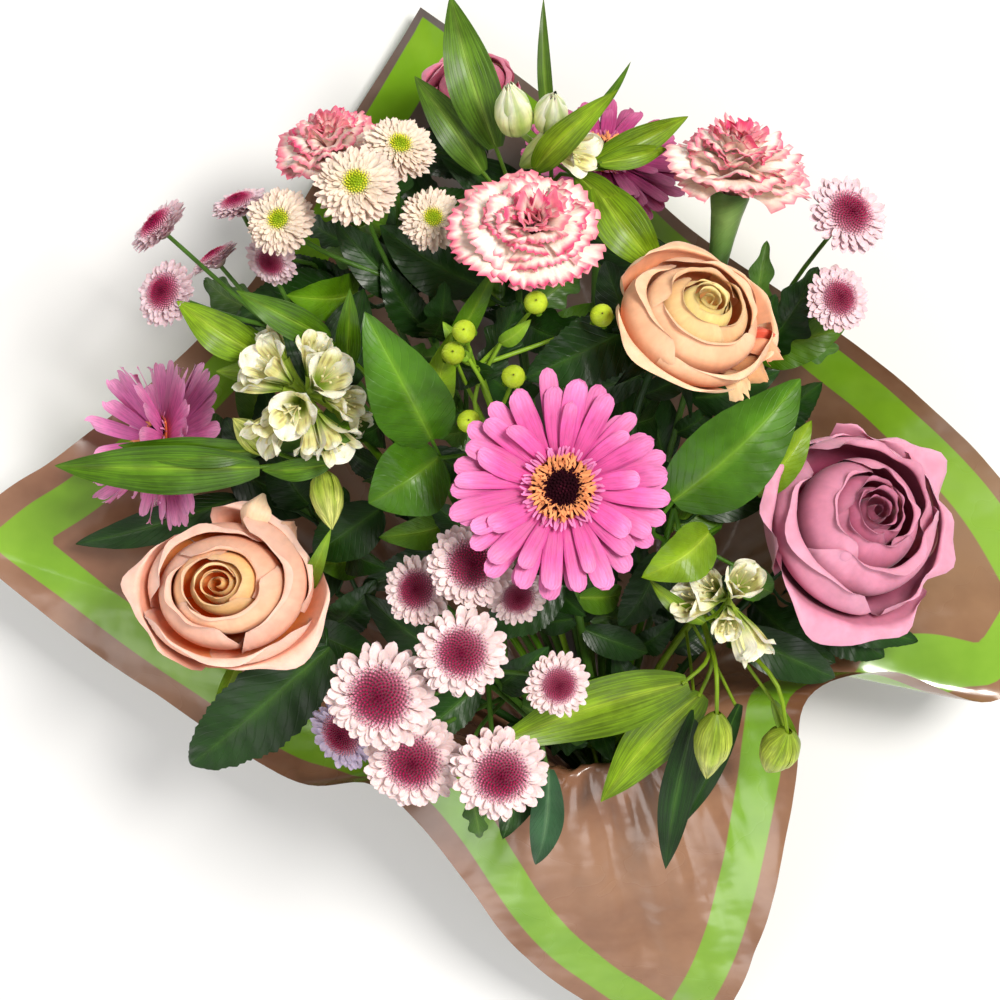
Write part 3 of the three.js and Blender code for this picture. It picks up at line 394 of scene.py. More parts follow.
# ---- the blooms, each about its own middle and facing +Z ----
# From the heart to the outer petals: share of the way, then a petal's profile as (distance out, height)
ROSE_STAGES = [
    (0.0, [(0.02, -0.35), (0.05, -0.05), (0.07, 0.2), (0.07, 0.4), (0.05, 0.5), (0.045, 0.53)]),
    (0.15, [(0.04, -0.4), (0.12, -0.1), (0.17, 0.2), (0.16, 0.42), (0.14, 0.52), (0.15, 0.55)]),
    (0.35, [(0.06, -0.5), (0.26, -0.22), (0.36, 0.08), (0.34, 0.36), (0.25, 0.53), (0.27, 0.57)]),
    (0.55, [(0.08, -0.56), (0.42, -0.36), (0.6, 0.0), (0.57, 0.28), (0.4, 0.47), (0.43, 0.51)]),
    (0.75, [(0.1, -0.6), (0.54, -0.45), (0.8, -0.14), (0.8, 0.14), (0.6, 0.36), (0.67, 0.39)]),
    (0.9, [(0.12, -0.62), (0.62, -0.48), (0.9, -0.22), (0.95, 0.03), (0.86, 0.22), (0.97, 0.2)]),
    (1.0, [(0.12, -0.62), (0.64, -0.46), (0.88, -0.24), (0.98, -0.05), (1.03, 0.05), (1.1, -0.05)]),
]
WHORLS = [0.0, 0.05, 0.1, 0.15, 0.2, 0.25, 0.31, 0.35, 0.39, 0.49, 0.54, 0.59, 0.7, 0.76, 0.82, 0.9, 0.94, 0.97, 1.0]


def rose(place, seed, colours, lean, pull, wild):
    """Goblet petals: a tight heart, then wide petals that wrap it, whose lips roll out more from whorl to whorl.
    pull draws the outer lips out towards lean."""
    random = np.random.default_rng(seed)
    heart, body, edge, shade = colours
    u, v = net(31, 22, hurry=1.3)
    late = smooth(0.7, 1, v)
    stops = [s for s, _ in ROSE_STAGES]
    stages = np.array([p for _, p in ROSE_STAGES])
    shares = np.linspace(0, 1, 61)
    for k, t in enumerate(WHORLS):
        controls = np.array([[np.interp(t, stops, stages[:, i, j]) for j in (0, 1)] for i in range(stages.shape[1])])
        wander = random.standard_normal(7)
        controls[3:, 0] += 0.03 * t * wander[0]
        controls[3:, 1] += 0.045 * t * wander[1]
        controls[5] += [0.03 * t * wander[2], 0.03 * t * wander[3]]
        line = np.array([curve_at(list(controls), s) for s in shares])
        skew = np.clip(np.abs(u * (1 + 0.12 * wander[4] * u)), 0, 1)
        top = 0.26 + 0.74 * np.sqrt(1 - skew ** (3.0 - 0.5 * t)) + 0.04 * t * (bell(u - 0.2 * wander[6], 0.16) - 1)
        reach = np.clip(v * top, 0, 1)
        rho = np.interp(reach, shares, line[:, 0])
        z = np.interp(reach, shares, line[:, 1])
        half = np.interp(t, [0, 0.15, 0.35, 0.55, 0.75, 1], [2.7, 2.3, 1.85, 1.7, 1.5, 1.15])
        half = half * (0.45 + 0.55 * rise(1.5 * v))
        angle = k * GOLDEN + 0.18 * wander[5] + u * half
        flutter = wild * t * late * (0.024 * swing(random, 2.2 * np.pi * u) + 0.012 * swing(random, 5.2 * np.pi * u))
        point = wild * 0.09 * smooth(0.5, 1, t) * late * bell(u - 0.25 * wander[6], 0.22)
        swell = 0.03 * t * swing(random, 1.3 * np.pi * u) * v
        rho = rho * (1 + 0.06 * u + 0.3 * (1 - t) ** 4 * u + swell) + flutter + point - 0.04 * t * u ** 2 * v
        z = z + 0.7 * flutter + 0.03 * t * u * v
        facing = np.clip(np.cos(angle - math.atan2(lean[1], lean[0])), 0, 1)
        drawn = pull * smooth(0.8, 1, t) * smooth(0.35, 1, v) * facing ** 2
        # Petal bases take the shade colour, a deeper tone of each rose: partly the rose's own, partly painted shade in
        # the gaps between petals. In the heart's whorls it is raised up to 1.8 times, a painted glow where little light
        # reaches.
        inner = 1 - smooth(0.3, 0.66, t)
        tint = blend(shade * (1 + 0.8 * inner), blend(body, heart, inner), smooth(0.3, 0.72 - 0.1 * t, v))
        tint = blend(tint, edge, smooth(0.55, 1, v) * (0.2 + 0.5 * t))
        tint = tint * (1 + 0.03 * random.standard_normal())
        place.petal(rho + drawn, 0, z - 0.5 * drawn, angle, tint)


def scraps(place, toward, seed, pieces):
    """Small bent petals on one side of a rose. pieces: angle from toward, height, reach, width, share torn, colour."""
    random = np.random.default_rng(seed)
    u, v = net(17, 12)
    x, y, _ = place.turn.T @ np.array(toward, float)
    for angle, height, reach, width, torn, tint in pieces:
        tear = torn * (0.12 * swing(random, u * 7) + 0.05 * swing(random, u * 17))
        out = 0.7 + (reach - 0.7) * v * (1 + tear * smooth(0.5, 1, v) - 0.2 * u ** 2 * v)
        side = u * width * (0.5 + 0.5 * rise(v)) * (1 - (0.9 - 0.6 * torn) * v ** 3)
        z = height + 0.12 * arch(v) - 0.1 * u ** 2 + 0.04 * swing(random, 4 * u) * v
        place.petal(out, side, z, math.atan2(y, x) + angle, blend(tint, tint * 1.15, v))


def carnation(place, seed, colours, rim, loose, count):
    """Frilled fans: wide and white with a coral edge outside, small, folded and coral in the middle."""
    random = np.random.default_rng(seed)
    body, edge, shade = colours
    u, v = net(31, 15, hurry=1.7)
    way = v[..., None]
    for k in range(count):
        s = k / (count - 1)
        phi = k * GOLDEN + 0.15 * random.standard_normal()
        wide = 0.2 + 0.5 * (1 - s) ** 0.9
        tip = np.array([0.06 + 0.96 * (1 - s) ** 0.95, -0.14 + 0.72 * s ** 0.7])
        tip = tip * (1 + loose * (0.05 + 0.05 * (1 - s)) * random.standard_normal(2))
        tip = tip + [0, 0.045 * loose * random.standard_normal()]
        root, knee = np.array([0.03, -0.46]), np.array([0.24 * tip[0] + 0.03, 0.9 * tip[1] + 0.16])
        tooth = np.abs(((u * 5.5 + random.uniform(0, 1)) % 1) - 0.5) * 2
        stretch = way * (1 - 0.22 * np.abs(u) ** 2.4 - 0.075 * tooth * smooth(0.75, 1, v))[..., None]
        line = (1 - stretch) ** 2 * root + 2 * stretch * (1 - stretch) * knee + stretch ** 2 * tip
        folds = random.uniform(1.0, 1.9) + 1.4 * s
        ripple = (0.075 + 0.03 * random.standard_normal()) * swing(random, u * np.pi * folds) * v ** 1.6
        ripple = ripple + 0.02 * swing(random, u * np.pi * 5.3) * v ** 4
        lift = np.array([-(tip - knee)[1], (tip - knee)[0]]) / np.linalg.norm(tip - knee)
        out = line[..., 0] + ripple * lift[0]
        z = line[..., 1] + ripple * lift[1] - 0.08 * u ** 2 * v * (1 - s)
        twist = phi + 0.3 * random.standard_normal() * v * s
        ragged = 0.03 * np.sin(u * 23 + k) + 0.02 * np.sin(u * 41 + 2 * k)
        mark = smooth(rim - 0.5 * s ** 4, 1.0 - 0.2 * s ** 4, v + 0.6 * ragged)
        mark = np.maximum(mark, 0.7 * smooth(0.94, 1, np.abs(u)) * smooth(0.6, 0.9, v))
        # Petal bases take the shade colour, a darker cream that turns coral in the middle petals: painted shade deep in
        # the flower.
        tint = blend(blend(shade, edge, s), body, smooth(0.2, 0.55 + 0.2 * s, v))
        tint = blend(tint, edge, np.clip(mark, 0, 1) * random.uniform(0.7, 1))
        place.petal(out, u * (0.03 + wide * v ** 1.5), z, twist, tint)


def strap_ring(place, random, count, start, reach, z0, z1, width, droop, colours, columns=5, rows=8, notch=0.0,
               groove=0.0, offset=0.0, wild=1.0, cup=0.0, base=0.35, tip=0.16):
    """A ring of strap petals from radius start to reach, with round tips. colours: at the root, midway, at the tip."""
    u, v = net(columns, rows, hurry=1.7)
    across = (base + (1 - base) * rise(v / 0.7)) * rounded(np.clip((1 - v) / tip, 0, 1))
    low, middle, high = colours
    for k in range(count):
        phi = TURN * (k + offset) / count + wild * 0.35 / count * random.standard_normal()
        size = reach * (1 + wild * 0.03 * random.standard_normal())
        out = start + (size - start) * v * (1 - notch * bell(u, 0.3) * smooth(0.9, 1, v))
        lift = z0 + (z1 - z0) * v + droop * v ** 2 + wild * 0.02 * random.standard_normal() * v ** 2
        lift = lift + groove * np.cos(3 * np.pi * u) * (1 - v ** 6) + cup * u ** 2 * arch(v)
        side = u * width * across * (1 + wild * 0.06 * random.standard_normal())
        side = side + wild * 0.03 * random.standard_normal() * v ** 2
        lift = lift + wild * 0.14 * width * u * random.standard_normal() * v
        tint = blend(blend(low, middle, smooth(0.0, 0.5, v)), high, smooth(0.6, 1, v))
        tint = tint * (1 + 0.05 * random.standard_normal() - 0.06 * np.abs(u)[..., None])
        place.petal(out, side, lift, phi, tint)


def florets(place, random, count, radius, dome, height, size, tints, inside=0.0, tall=1.6):
    """Tiny disc florets on a dome, set by the golden angle from inside to radius."""
    for k in range(count):
        share = math.sqrt(inside ** 2 + (1 - inside ** 2) * (k + 0.5) / count)
        cos, sin = math.cos(k * GOLDEN), math.sin(k * GOLDEN)
        seat = np.array([radius * share * cos, radius * share * sin, height + dome * (1 - share ** 2)])
        lean = share * 0.9
        face = unit([lean * cos, lean * sin, 1])
        top = seat + face * (size * tall * (1 + 0.25 * random.standard_normal()))
        stop = share * (len(tints) - 1)
        low = int(min(stop, len(tints) - 2))
        tint = tints[low] + (tints[low + 1] - tints[low]) * (stop - low)
        tint = tint * (1 + 0.12 * random.standard_normal())
        # Each floret runs from 0.55 of its colour at its base to 1.25 at its tip: painted shade down between the
        # florets and painted light on their tops.
        knob(place.shape, place.put(seat - face * size * 0.6), place.put(top), size * place.r,
             [(0.8, 0), (1, 0.5), (0.62, 0.86), (0, 1)], [tint * 0.55, tint, tint * 1.25], sides=5)


def gerbera_petals(place, seed, colours, swept, wide, many):
    """Three layers of grooved straps. swept bends the outer layer back and the inner one forward."""
    random = np.random.default_rng(seed)
    _, mid, pale = colours
    for count, start, reach, z0, z1, width, droop, offset, wild in (
            (22, 0.16, 1.0, -0.03, -0.8 * swept, 0.098, 0.0, 0.0, 1.3),
            (20, 0.16, 0.95, 0.02, 0.07, 0.094, 0.02, 0.5, 1.5),
            (9 + int(18 * swept), 0.2, 0.78 + 0.1 * swept, 0.06, 0.13 + 1.3 * swept, 0.084, 0.02, 0.2, 2.4)):
        strap_ring(place, random, int(count * many), start, reach, z0, z1, width * wide, droop, colours, columns=7,
                   rows=10, notch=0.03, groove=0.008, offset=offset, wild=wild, base=0.3, tip=0.14)
    strap_ring(place, random, 60, 0.25, 0.385, 0.08, 0.125, 0.012, 0.02, (mid, pale, pale * 1.15), columns=3, rows=5)


def gerbera_eye(place, seed, ring, ring_dark, disc):
    random = np.random.default_rng(seed)
    for count, start, reach, low, high in ((64, 0.17, 0.31, 0.1, 0.135), (52, 0.15, 0.25, 0.11, 0.14),
                                           (40, 0.13, 0.2, 0.11, 0.14)):
        strap_ring(place, random, count, start, reach, low, high, 0.013, 0.01, (ring_dark, ring, ring * 1.04),
                   columns=3, rows=4, wild=2)
    florets(place, random, 90, 0.2, 0.0, 0.125, 0.009, [disc, disc, disc * 2], inside=0.72, tall=2.6)
    florets(place, random, 90, 0.165, 0.02, 0.12, 0.014, [disc * 2.5, disc, disc * 0.7, disc * 1.2])
    place.knob(0, 0.128, 0.3, [(0.4, 0), (1, 0.6), (0.9, 0.8), (0.6, 0.88), (0.5, 0.94), (0, 0.96)],
               [ring_dark, ring_dark, ring, ring_dark, disc, disc], sides=24)


def mum(place, seed, white, blush, wine, wine_pale):
    """Four rings of white petals round a dome of dark florets that grow paler outwards."""
    random = np.random.default_rng(seed)
    for count, start, reach, z0, z1, width in ((21, 0.3, 1.0, -0.16, -0.03, 0.118), (21, 0.3, 0.97, -0.06, 0.05, 0.114),
                                               (20, 0.34, 0.87, 0.02, 0.12, 0.1), (20, 0.38, 0.77, 0.09, 0.17, 0.085)):
        strap_ring(place, random, count, start, reach, z0, z1, width, 0.03, (blush, white, white), columns=4, rows=7,
                   offset=random.uniform(0, 1), cup=0.05, base=0.6, tip=0.3, wild=1.3)
    tints = [wine * share for share in (0.3, 0.55, 0.8, 1.05)] + [blend(wine * 1.15, wine_pale, 0.45)]
    tints += [blend(wine_pale, blush, 0.2), blend(wine_pale, blush, 0.55), blend(blush, white, 0.4)]
    florets(place, random, 300, 0.62, 0.15, 0.15, 0.022, tints, tall=2.0)
    place.knob(-0.38, 0.25, 0.56, [(0, 0), (0.36, 0.1), (0.7, 0.4), (1, 0.72), (0.7, 0.9), (0, 1)],
               [rgb(0x3c5c22), blush, wine * 0.5], sides=16)


PALE_RINGS = [(26, 0.98, -0.3, -0.16, 0.085), (27, 1.0, -0.22, -0.05, 0.085), (27, 0.97, -0.13, 0.05, 0.082),
              (26, 0.9, -0.04, 0.15, 0.078), (25, 0.81, 0.04, 0.22, 0.072), (23, 0.7, 0.1, 0.26, 0.066),
              (21, 0.58, 0.14, 0.28, 0.06), (19, 0.46, 0.16, 0.27, 0.052)]


def pale_mum(place, seed, white, blush, eye, green):
    """Eight rings of cream petals round a green eye. A ring is its count, reach, two heights and width."""
    random = np.random.default_rng(seed)
    cream = blend(white, eye, 0.1)
    for number, (count, reach, z0, z1, width) in enumerate(PALE_RINGS):
        high = blend(white, cream, number / 7)
        colours = (blend(blush, eye, 0.3 * number / 7), high, high)
        strap_ring(place, random, count, 0.16, reach, z0, z1, width, 0.02, colours, columns=4, rows=6,
                   offset=random.uniform(0, 1), cup=0.06, base=0.5, tip=0.26, wild=1.6)
    florets(place, random, 120, 0.38, 0.05, 0.24, 0.024,
            [green * 0.6, green, green * 1.1, eye * 0.9, eye, blend(eye, cream, 0.6), cream], tall=2.2)
    place.knob(-0.38, 0.28, 0.4, [(0, 0), (0.4, 0.1), (0.8, 0.4), (1, 0.75), (0.6, 0.93), (0, 1)],
               [rgb(0x3c5c22), rgb(0x8c9a50), green], sides=14)


def trumpet(shape, heart, at, r, seed, wide):
    """An alstroemeria floret: a throat from the heart and six cupped tepals, the inner three narrower and marked."""
    random = np.random.default_rng(seed)
    white, cream, green, streak = LILY
    heart, at = np.asarray(heart, float), np.asarray(at, float)
    way = unit(at - heart)
    place = Place(shape, r, turn_to(way, random.uniform(0, 1)), at)
    throat = at - way * r * 0.95
    tube(shape, evenly([heart, heart + (throat - heart) * 0.5, throat], 4), [1.3, 1.3, 1.4, 1.7, 2.6], green, sides=7)
    u, v = net(11, 12, hurry=1.5)
    stops = [0, 0.3, 0.65, 1]
    close = np.clip((1 - v) / 0.42, 0, 1) ** 1.25
    for k in range(6):
        inner = k % 2
        phi = TURN * k / 6 + 0.14 * random.standard_normal()
        spread = wide * (1 + 0.1 * random.standard_normal())
        out = np.interp(v, stops, [0.08, 0.3, 0.62 * spread, (0.96 - 0.12 * inner) * spread])
        up = np.interp(v, stops, [-0.95, -0.3, 0.18 + 0.08 * inner, 0.28 + 0.14 * inner])
        up = up + 0.16 * u ** 2 * v + 0.05 * np.sin(1.8 * np.pi * u + k + seed) * v ** 2
        half = (0.46 - 0.16 * inner) * (0.3 + 0.7 * rise(v / 0.6)) * rounded(close)
        tint = blend(blend(green, cream, smooth(0.1, 0.4, v)), white, smooth(0.25, 0.65, v))
        tint = blend(tint, green, 0.8 * smooth(0.88, 1, v) * smooth(0.6, 0, np.abs(u)) * (1 - 0.6 * inner))
        tint = blend(tint, green, 0.4 * bell(u, 0.16) * (1 - v))
        if inner:
            tint = blend(tint, rgb(0xd4d050), smooth(0.3, 0.5, v) * smooth(0.95, 0.6, v) * 0.6)
            tint = blend(tint, streak, 0.6 * (np.sin(u * 12 + k) > 0.75) * smooth(0.35, 0.5, v) * smooth(0.75, 0.6, v))
        place.petal(out, u * half, up, phi, tint)
    stamen = np.array([[0, 0, -0.5], [0.1, 0, -0.1], [0.2, 0, 0.22], [0.26, 0, 0.3]]) * r
    for k in range(5):
        phi = TURN * k / 5 + 0.4
        spin = np.array([[math.cos(phi), -math.sin(phi), 0], [math.sin(phi), math.cos(phi), 0], [0, 0, 1]])
        tube(shape, stamen @ spin.T @ place.turn.T + at, [0.35, 0.35, 0.35, 0.75], rgb(0xd8cf9a), sides=5, tip=True)


# ---- greens: dark, middle, pale ----
GREENS = {
    "bright": tones(0x345a02, 0x578206, 0x98b438),
    "fresh": tones(0x50740a, 0x80a010, 0xb4c846),
    "teal": tones(0x1e4024, 0x345e38, 0x7c9c74),
    "glossy": tones(0x294f02, 0x447206, 0x86ac32),
    "blue": tones(0x34540c, 0x5a7e1a, 0xa0b858),
    "deep": tones(0x102804, 0x1c420a, 0x507a28),
    "stem": tones(0x2a4c12, 0x466c20, 0x82a24c),
    "grey": tones(0x2c4a1a, 0x486c2a, 0x7c9c54),
    "lime": tones(0x5f8a1a, 0x88ae28, 0xb4cf58),
}
# A leaf's outline by kind: where it starts, what is left of the way, and the powers of the way and of the width
OUTLINES = {"blade": (0.08, 0.92, 0.86, 0.9), "broad": (0.06, 0.94, 0.78, 0.8), "rose": (0.05, 0.95, 0.8, 0.72),
            "mum": (0.05, 0.95, 0.9, 0.7)}


def leaf(shape, root, tip, width, bow, kind, green, seed):
    """A leaf with its edge, waves and side veins. Returns its grid of points."""
    random = np.random.default_rng(seed)
    root, tip = np.asarray(root, float), np.asarray(tip, float)
    way = tip - root
    side = unit(np.cross(way, [0, 0, 1]))
    lift = unit(np.cross(side, way))
    u, v = net(11, 49 if kind in ("rose", "mum") else 26)
    start, rest, early, full = OUTLINES[kind]
    edge = np.ones_like(v)
    if kind == "rose":
        edge = 1 - 0.1 * ((v * 20) % 1) * np.abs(u) ** 6
    if kind == "mum":
        edge = 1 - 0.38 * (0.5 + 0.5 * np.cos(v * TURN * 3.5)) * np.abs(u) ** 2 * smooth(0.02, 0.2, v)
    half = u * 0.5 * width * (arch(start + rest * v ** early) ** full * 0.97 + 0.02) * edge
    wave = 0.03 * width * swing(random, v * TURN * random.uniform(1.6, 2.6)) * np.abs(u) ** 2
    quilt = 0.012 * width * np.sin(v * TURN * 8 - np.abs(u) * 5) * smooth(0, 0.5, np.abs(u)) if kind != "blade" else 0
    height = bow * np.sin(np.pi * v) + np.abs(half) * 0.3 + wave + quilt - 0.05 * width * v ** 5
    sway = 0.04 * np.linalg.norm(way) * np.sin(np.pi * v) * random.uniform(-1, 1)
    points = root + way * v[..., None] + side * (half + sway)[..., None] + lift * height[..., None]
    dark, mid, pale = GREENS[green]
    tint = blend(mid, dark, 0.45 * smooth(0.1, 1, np.abs(u)) + 0.35 * (1 - v)) * random.uniform(0.88, 1.12)
    shape.sheet(points, blend(tint, pale, 0.4 * bell(u, 0.06) * (1 - 0.6 * v)))
    return points


def bud(shape, base, tip, radius, tints, seed, slack=0.0):
    """A closed or half-open bud: three outer tepals wrapped round three inner ones, with green streaks."""
    random = np.random.default_rng(seed)
    base, tip = np.asarray(base, float), np.asarray(tip, float)
    way = tip - base
    place = Place(shape, 1, turn_to(unit(way), random.uniform(0, TURN)), base)
    green, pale, high = tints
    u, v = net(15, 15)
    for k in range(6):
        inner = k > 2
        phi = TURN * k / 3 + (TURN / 6 if inner else 0) + 0.1 * random.standard_normal()
        gape = 0 if inner else slack
        girth = np.interp(v, [0, 0.06, 0.2, 0.42, 0.62, 0.82, 0.94, 1],
                          [0.2, 0.45, 0.84, 1.0, 0.9, 0.52, 0.22 + gape, 0.04 + 1.6 * gape])
        rho = radius * girth * (0.9 if inner else 1) * (1 + 0.07 * u - 0.1 * np.abs(u) ** 3)
        angle = phi + u * (1.16 - 0.5 * smooth(0.7, 1, v))
        z = np.linalg.norm(way) * v * ((1.03 if inner else 1) - 0.1 * u ** 2 * v)
        tint = blend(pale, high, smooth(0.35, 0.85, v))
        streaks = np.clip(0.9 * bell(u, 0.28) + 0.35 * bell(np.abs(u) - 0.55, 0.1), 0, 1)
        tint = blend(tint, green, streaks * (1 - 0.35 * v))
        place.petal(rho, 0, z, angle, blend(tint, green, 0.7 * smooth(0.35, 0, v)))


def sepals(place, seed, low, high):
    random = np.random.default_rng(seed)
    u, v = net(5, 9)
    for k in range(5):
        phi = TURN * k / 5 + 0.1 * random.standard_normal()
        down = -0.84 - 0.1 * v ** 2 + 0.16 * np.sin(np.pi * v) + 0.04 * random.standard_normal() * v
        side = u * 0.1 * arch(0.25 + 0.75 * v) + 0.05 * random.standard_normal() * v ** 2
        place.petal(0.1 + 0.62 * v, side, down + 0.05 * u ** 2, phi, blend(low, high, v))


# ---- where the stems go ----
def spot_of(at, face, r):
    return dict(at=np.array(at, float), face=unit(face), r=r)


SPOTS = {name: spot_of(at, face, r) for name, (_, at, face, r) in BLOOMS.items()}
SPOTS.update({name: spot_of(at, face, r) for name, (at, face, r) in GERBERAS.items()})
SPOTS.update({name: spot_of(heart, [0, 0, 1.0], size) for name, (heart, size, _, _) in FLORETS.items()})
SIDEWAYS = unit(np.cross(AXIS, [0, 0, 1]))
UPWARDS = unit(np.cross(SIDEWAYS, AXIS))


def goal_of(spray):
    if "fork" in spray:
        return np.array(spray["fork"], float)
    return SPOTS[spray["heads"][0]]["at"]


def slots_at_tie():
    """Where each stem passes the tie, pushed apart from where its bloom would draw it, as in the part."""
    slots = []
    for spray in SPRAYS:
        out = goal_of(spray) - TIE
        depth = out @ AXIS + 60
        slots.append([out @ SIDEWAYS / depth * 34, out @ UPWARDS / depth * 34])
    for _ in range(400):
        for i, slot in enumerate(slots):
            slot[0] *= 0.997
            slot[1] *= 0.997
            for j, other in enumerate(slots[:i]):
                x, y = slot[0] - other[0], slot[1] - other[1]
                far = math.hypot(x, y)
                short = (SPRAYS[i]["thick"] + SPRAYS[j]["thick"]) / 2 + SLOT_GAP - far
                if short > 0:
                    x, y = x / far * short / 2, y / far * short / 2
                    slot[0] += x
                    slot[1] += y
                    other[0] -= x
                    other[1] -= y
    return slots


SLOTS = slots_at_tie()
BUNDLE = max(math.hypot(*s) for s in SLOTS) + 2.5
NECK_RADIUS = BUNDLE + NECK_CLEAR


def slot_point(slot, along):
    return TIE + SIDEWAYS * slot[0] + UPWARDS * slot[1] + AXIS * along


def stem_path(slot, goal, arrive, lead):
    """From the cut end through the tie, then in one curve to the goal. lead: how straight it arrives."""
    start = slot_point(slot, 14)
    reach = np.linalg.norm(goal - start)
    early = start + AXIS * reach * 0.28
    early = early + ((start + (goal - start) * 0.3) - early) * 0.35
    late = goal - arrive * lead * reach
    points = [slot_point(slot, -STEM_BELOW_TIE), slot_point(slot, -STEM_BELOW_TIE / 3)]
    for t in np.linspace(0, 1, 8):
        half_way = 3 * t * (1 - t) ** 2 * early
        points.append((1 - t) ** 3 * start + half_way + 3 * t * t * (1 - t) * late + t ** 3 * goal)
    return points


def calyx(shape, kind, spot, colours):
    place = Place(shape, spot["r"], turn_to(spot["face"]), spot["at"])
    dark, mid, pale = colours
    if kind == "carnation":
        place.knob(-1.52, -0.28, 0.27,
                   [(0, 0), (0.36, 0.02), (0.5, 0.12), (0.62, 0.4), (0.8, 0.7), (1, 0.92), (0.9, 1)],
                   [dark, mid, pale, mid], sides=15, ribs=5, deep=0.08)
    elif kind == "gerbera":
        place.knob(-0.3, -0.03, 0.27, [(0.2, 0), (0.5, 0.06), (0.78, 0.3), (0.96, 0.7), (1, 1)],
                   [dark, mid, mid], sides=18)
        for ring, z in ((14, -0.2), (16, -0.12), (18, -0.05)):
            strap_ring(place, np.random.default_rng(ring), ring, 0.12, 0.34, z - 0.03, z + 0.03, 0.035, 0.0,
                       (dark, mid, mid), columns=3, rows=5)
    else:
        place.knob(-1.0, -0.6, 0.34, [(0, 0), (0.42, 0.05), (0.6, 0.25), (0.62, 0.42), (0.9, 0.8), (1, 1)],
                   [dark, mid, mid], sides=12)
        sepals(place, int(spot["r"] * 10), mid, dark)


def tree_of(points):
    index = np.arange(points.shape[0] * points.shape[1]).reshape(points.shape[:2])
    return BVHTree.FromPolygons(points.reshape(-1, 3).tolist(), quads(index).tolist())


# What the leaves in the gaps keep clear of, and the stems that they grow from. Both fill as the sprays are made.
LEAF_TREES = []
PATHS = {}


def grow_leaf(shape, *form):
    """A leaf that later ones keep clear of."""
    LEAF_TREES.append(tree_of(leaf(shape, *form)[::3, ::2]))


def add_spray(spray, slot, seed):
    """A stem or a branching spray with its thorns, calyx, branches, leaves, buds and berries."""
    shape = Shape()
    random = np.random.default_rng(seed)
    name, thick = spray["name"], spray["thick"]
    dark, mid, pale = GREENS[spray["green"]]
    lone = "fork" not in spray
    kind = spray.get("calyx")
    foot = FOOT.get(kind, 0)
    goal = goal_of(spray).copy()
    spot = SPOTS[spray["heads"][0]] if lone else None
    if foot:
        goal = goal - spot["face"] * foot * spot["r"]
    arrive = spot["face"] if lone else unit(goal - TIE)
    path = stem_path(slot, goal, arrive, 0.14 if foot else 0.25)
    if foot:
        path.append(goal + spot["face"] * 0.12 * spot["r"])
    fine = evenly(path, 44)
    PATHS[name] = fine[8:]
    run = np.linspace(0, 1, len(fine))
    tint = blend(blend(mid, dark, 0.35 * np.sin(run * 9 + seed) ** 2), pale, 0.35 * smooth(0.2, 0, run))
    girth = thick / 2 * (1 - 0.12 * run) * (1 + 0.05 * (np.sin(run * 60 + seed) > 0.96))
    tube(shape, fine, girth, tint, sides=9)
    cut = np.array([fine[0], fine[0] - AXIS * 0.02])
    tube(shape, cut, [thick / 2, thick / 2 * 0.98], rgb(0xc9d6a0), sides=9, tip=True)
    if kind == "rose":
        for k in range(7):
            at = fine[12 + 4 * k]
            out = unit(np.cross(fine[13 + 4 * k] - at, random.standard_normal(3)))
            knob(shape, at + out * 1.6, at + out * 5.4 - AXIS * 1.2, 1.3, [(1, 0), (0.5, 0.4), (0, 1)],
                 [mid, mid, rgb(0x8a5a3a)], sides=5)
    if kind:
        calyx(shape, kind, spot, (dark, mid, pale))
    grown = 0

    def branch(to, toward, radius):
        nonlocal grown
        grown += 1
        start = path[len(path) - (3 if lone else 1 + grown % 3)]
        bend = to - toward * 0.3 * np.linalg.norm(to - start)
        bend = bend + (start - bend) * 0.25
        shades = blend(mid, dark, 0.3 * np.sin(np.arange(11) * 1.3) ** 2)
        tube(shape, evenly([start, bend, to], 10), np.linspace(radius * 1.1, radius * 0.85, 11), shades, sides=7)

    if not lone:
        for head in spray["heads"]:
            spot = SPOTS[head]
            branch(spot["at"] - spot["face"] * 0.36 * spot["r"], spot["face"], 1.25)
    for k, (root, tip, width, bow, form, *green) in enumerate(spray["leaves"]):
        way = np.array(tip) - np.array(root, float)
        branch(np.array(root, float) + way * 0.03, unit(way), 1.15)
        width *= LEAF_WIDER.get((name, k), 1)
        grow_leaf(shape, root, tip, width, bow, form, *(green or [spray["green"]]), seed * 31 + k)
    for k, (root, tip, *form) in enumerate(MORE_LEAVES.get(name, [])):
        target = np.array(root, float)
        near = fine[np.argmin(np.linalg.norm(fine - target, axis=1))]
        line = [near, (near + target) / 2 - AXIS * 2, target + (np.array(tip) - target) * 0.04]
        tube(shape, evenly(line, 6), 0.9, mid, sides=6)
        grow_leaf(shape, root, tip, *form, seed * 47 + k)
    for base, tip, radius in spray.get("buds", []):
        base, tip = np.array(base, float), np.array(tip, float)
        branch(base + (tip - base) * 0.05, unit(tip - base), 1.2)
        bud(shape, base, tip, radius, tones(0x7c9a1c, 0xbccc4c, 0xe2e284), int(base[0]) + 500)
        strap_ring(Place(shape, radius, turn_to(unit(tip - base)), base), random, 3, 0.1, 0.95, 0.05, 1.2, 0.3, 0.2,
                   (mid, mid, dark), rows=6, wild=0.2)
    for berry in np.array(spray.get("berries", []), float):
        branch(berry - [0, 2, 6], np.array([0, 0.3, 0.95]), 1.05)
        knob(shape, berry - [0, 2, 6], berry + [0, 2, 6], 5.4, BERRY,
             tones(0x5f8a1c, 0x86ac1c, *[0xaac826] * 4, *[0xb8cf30] * 20, 0x54481c), sides=18, ribs=3, deep=0.03)
        strap_ring(Place(shape, 6, turn_to([0, 0.32, 0.95]), berry - [0, 2.2, 6.4]), random, 5, 0.1, 1.0, 0.0, 0.25,
                   0.22, 0.3, (mid, mid, dark), columns=3, rows=5, wild=0.4)
    return shape


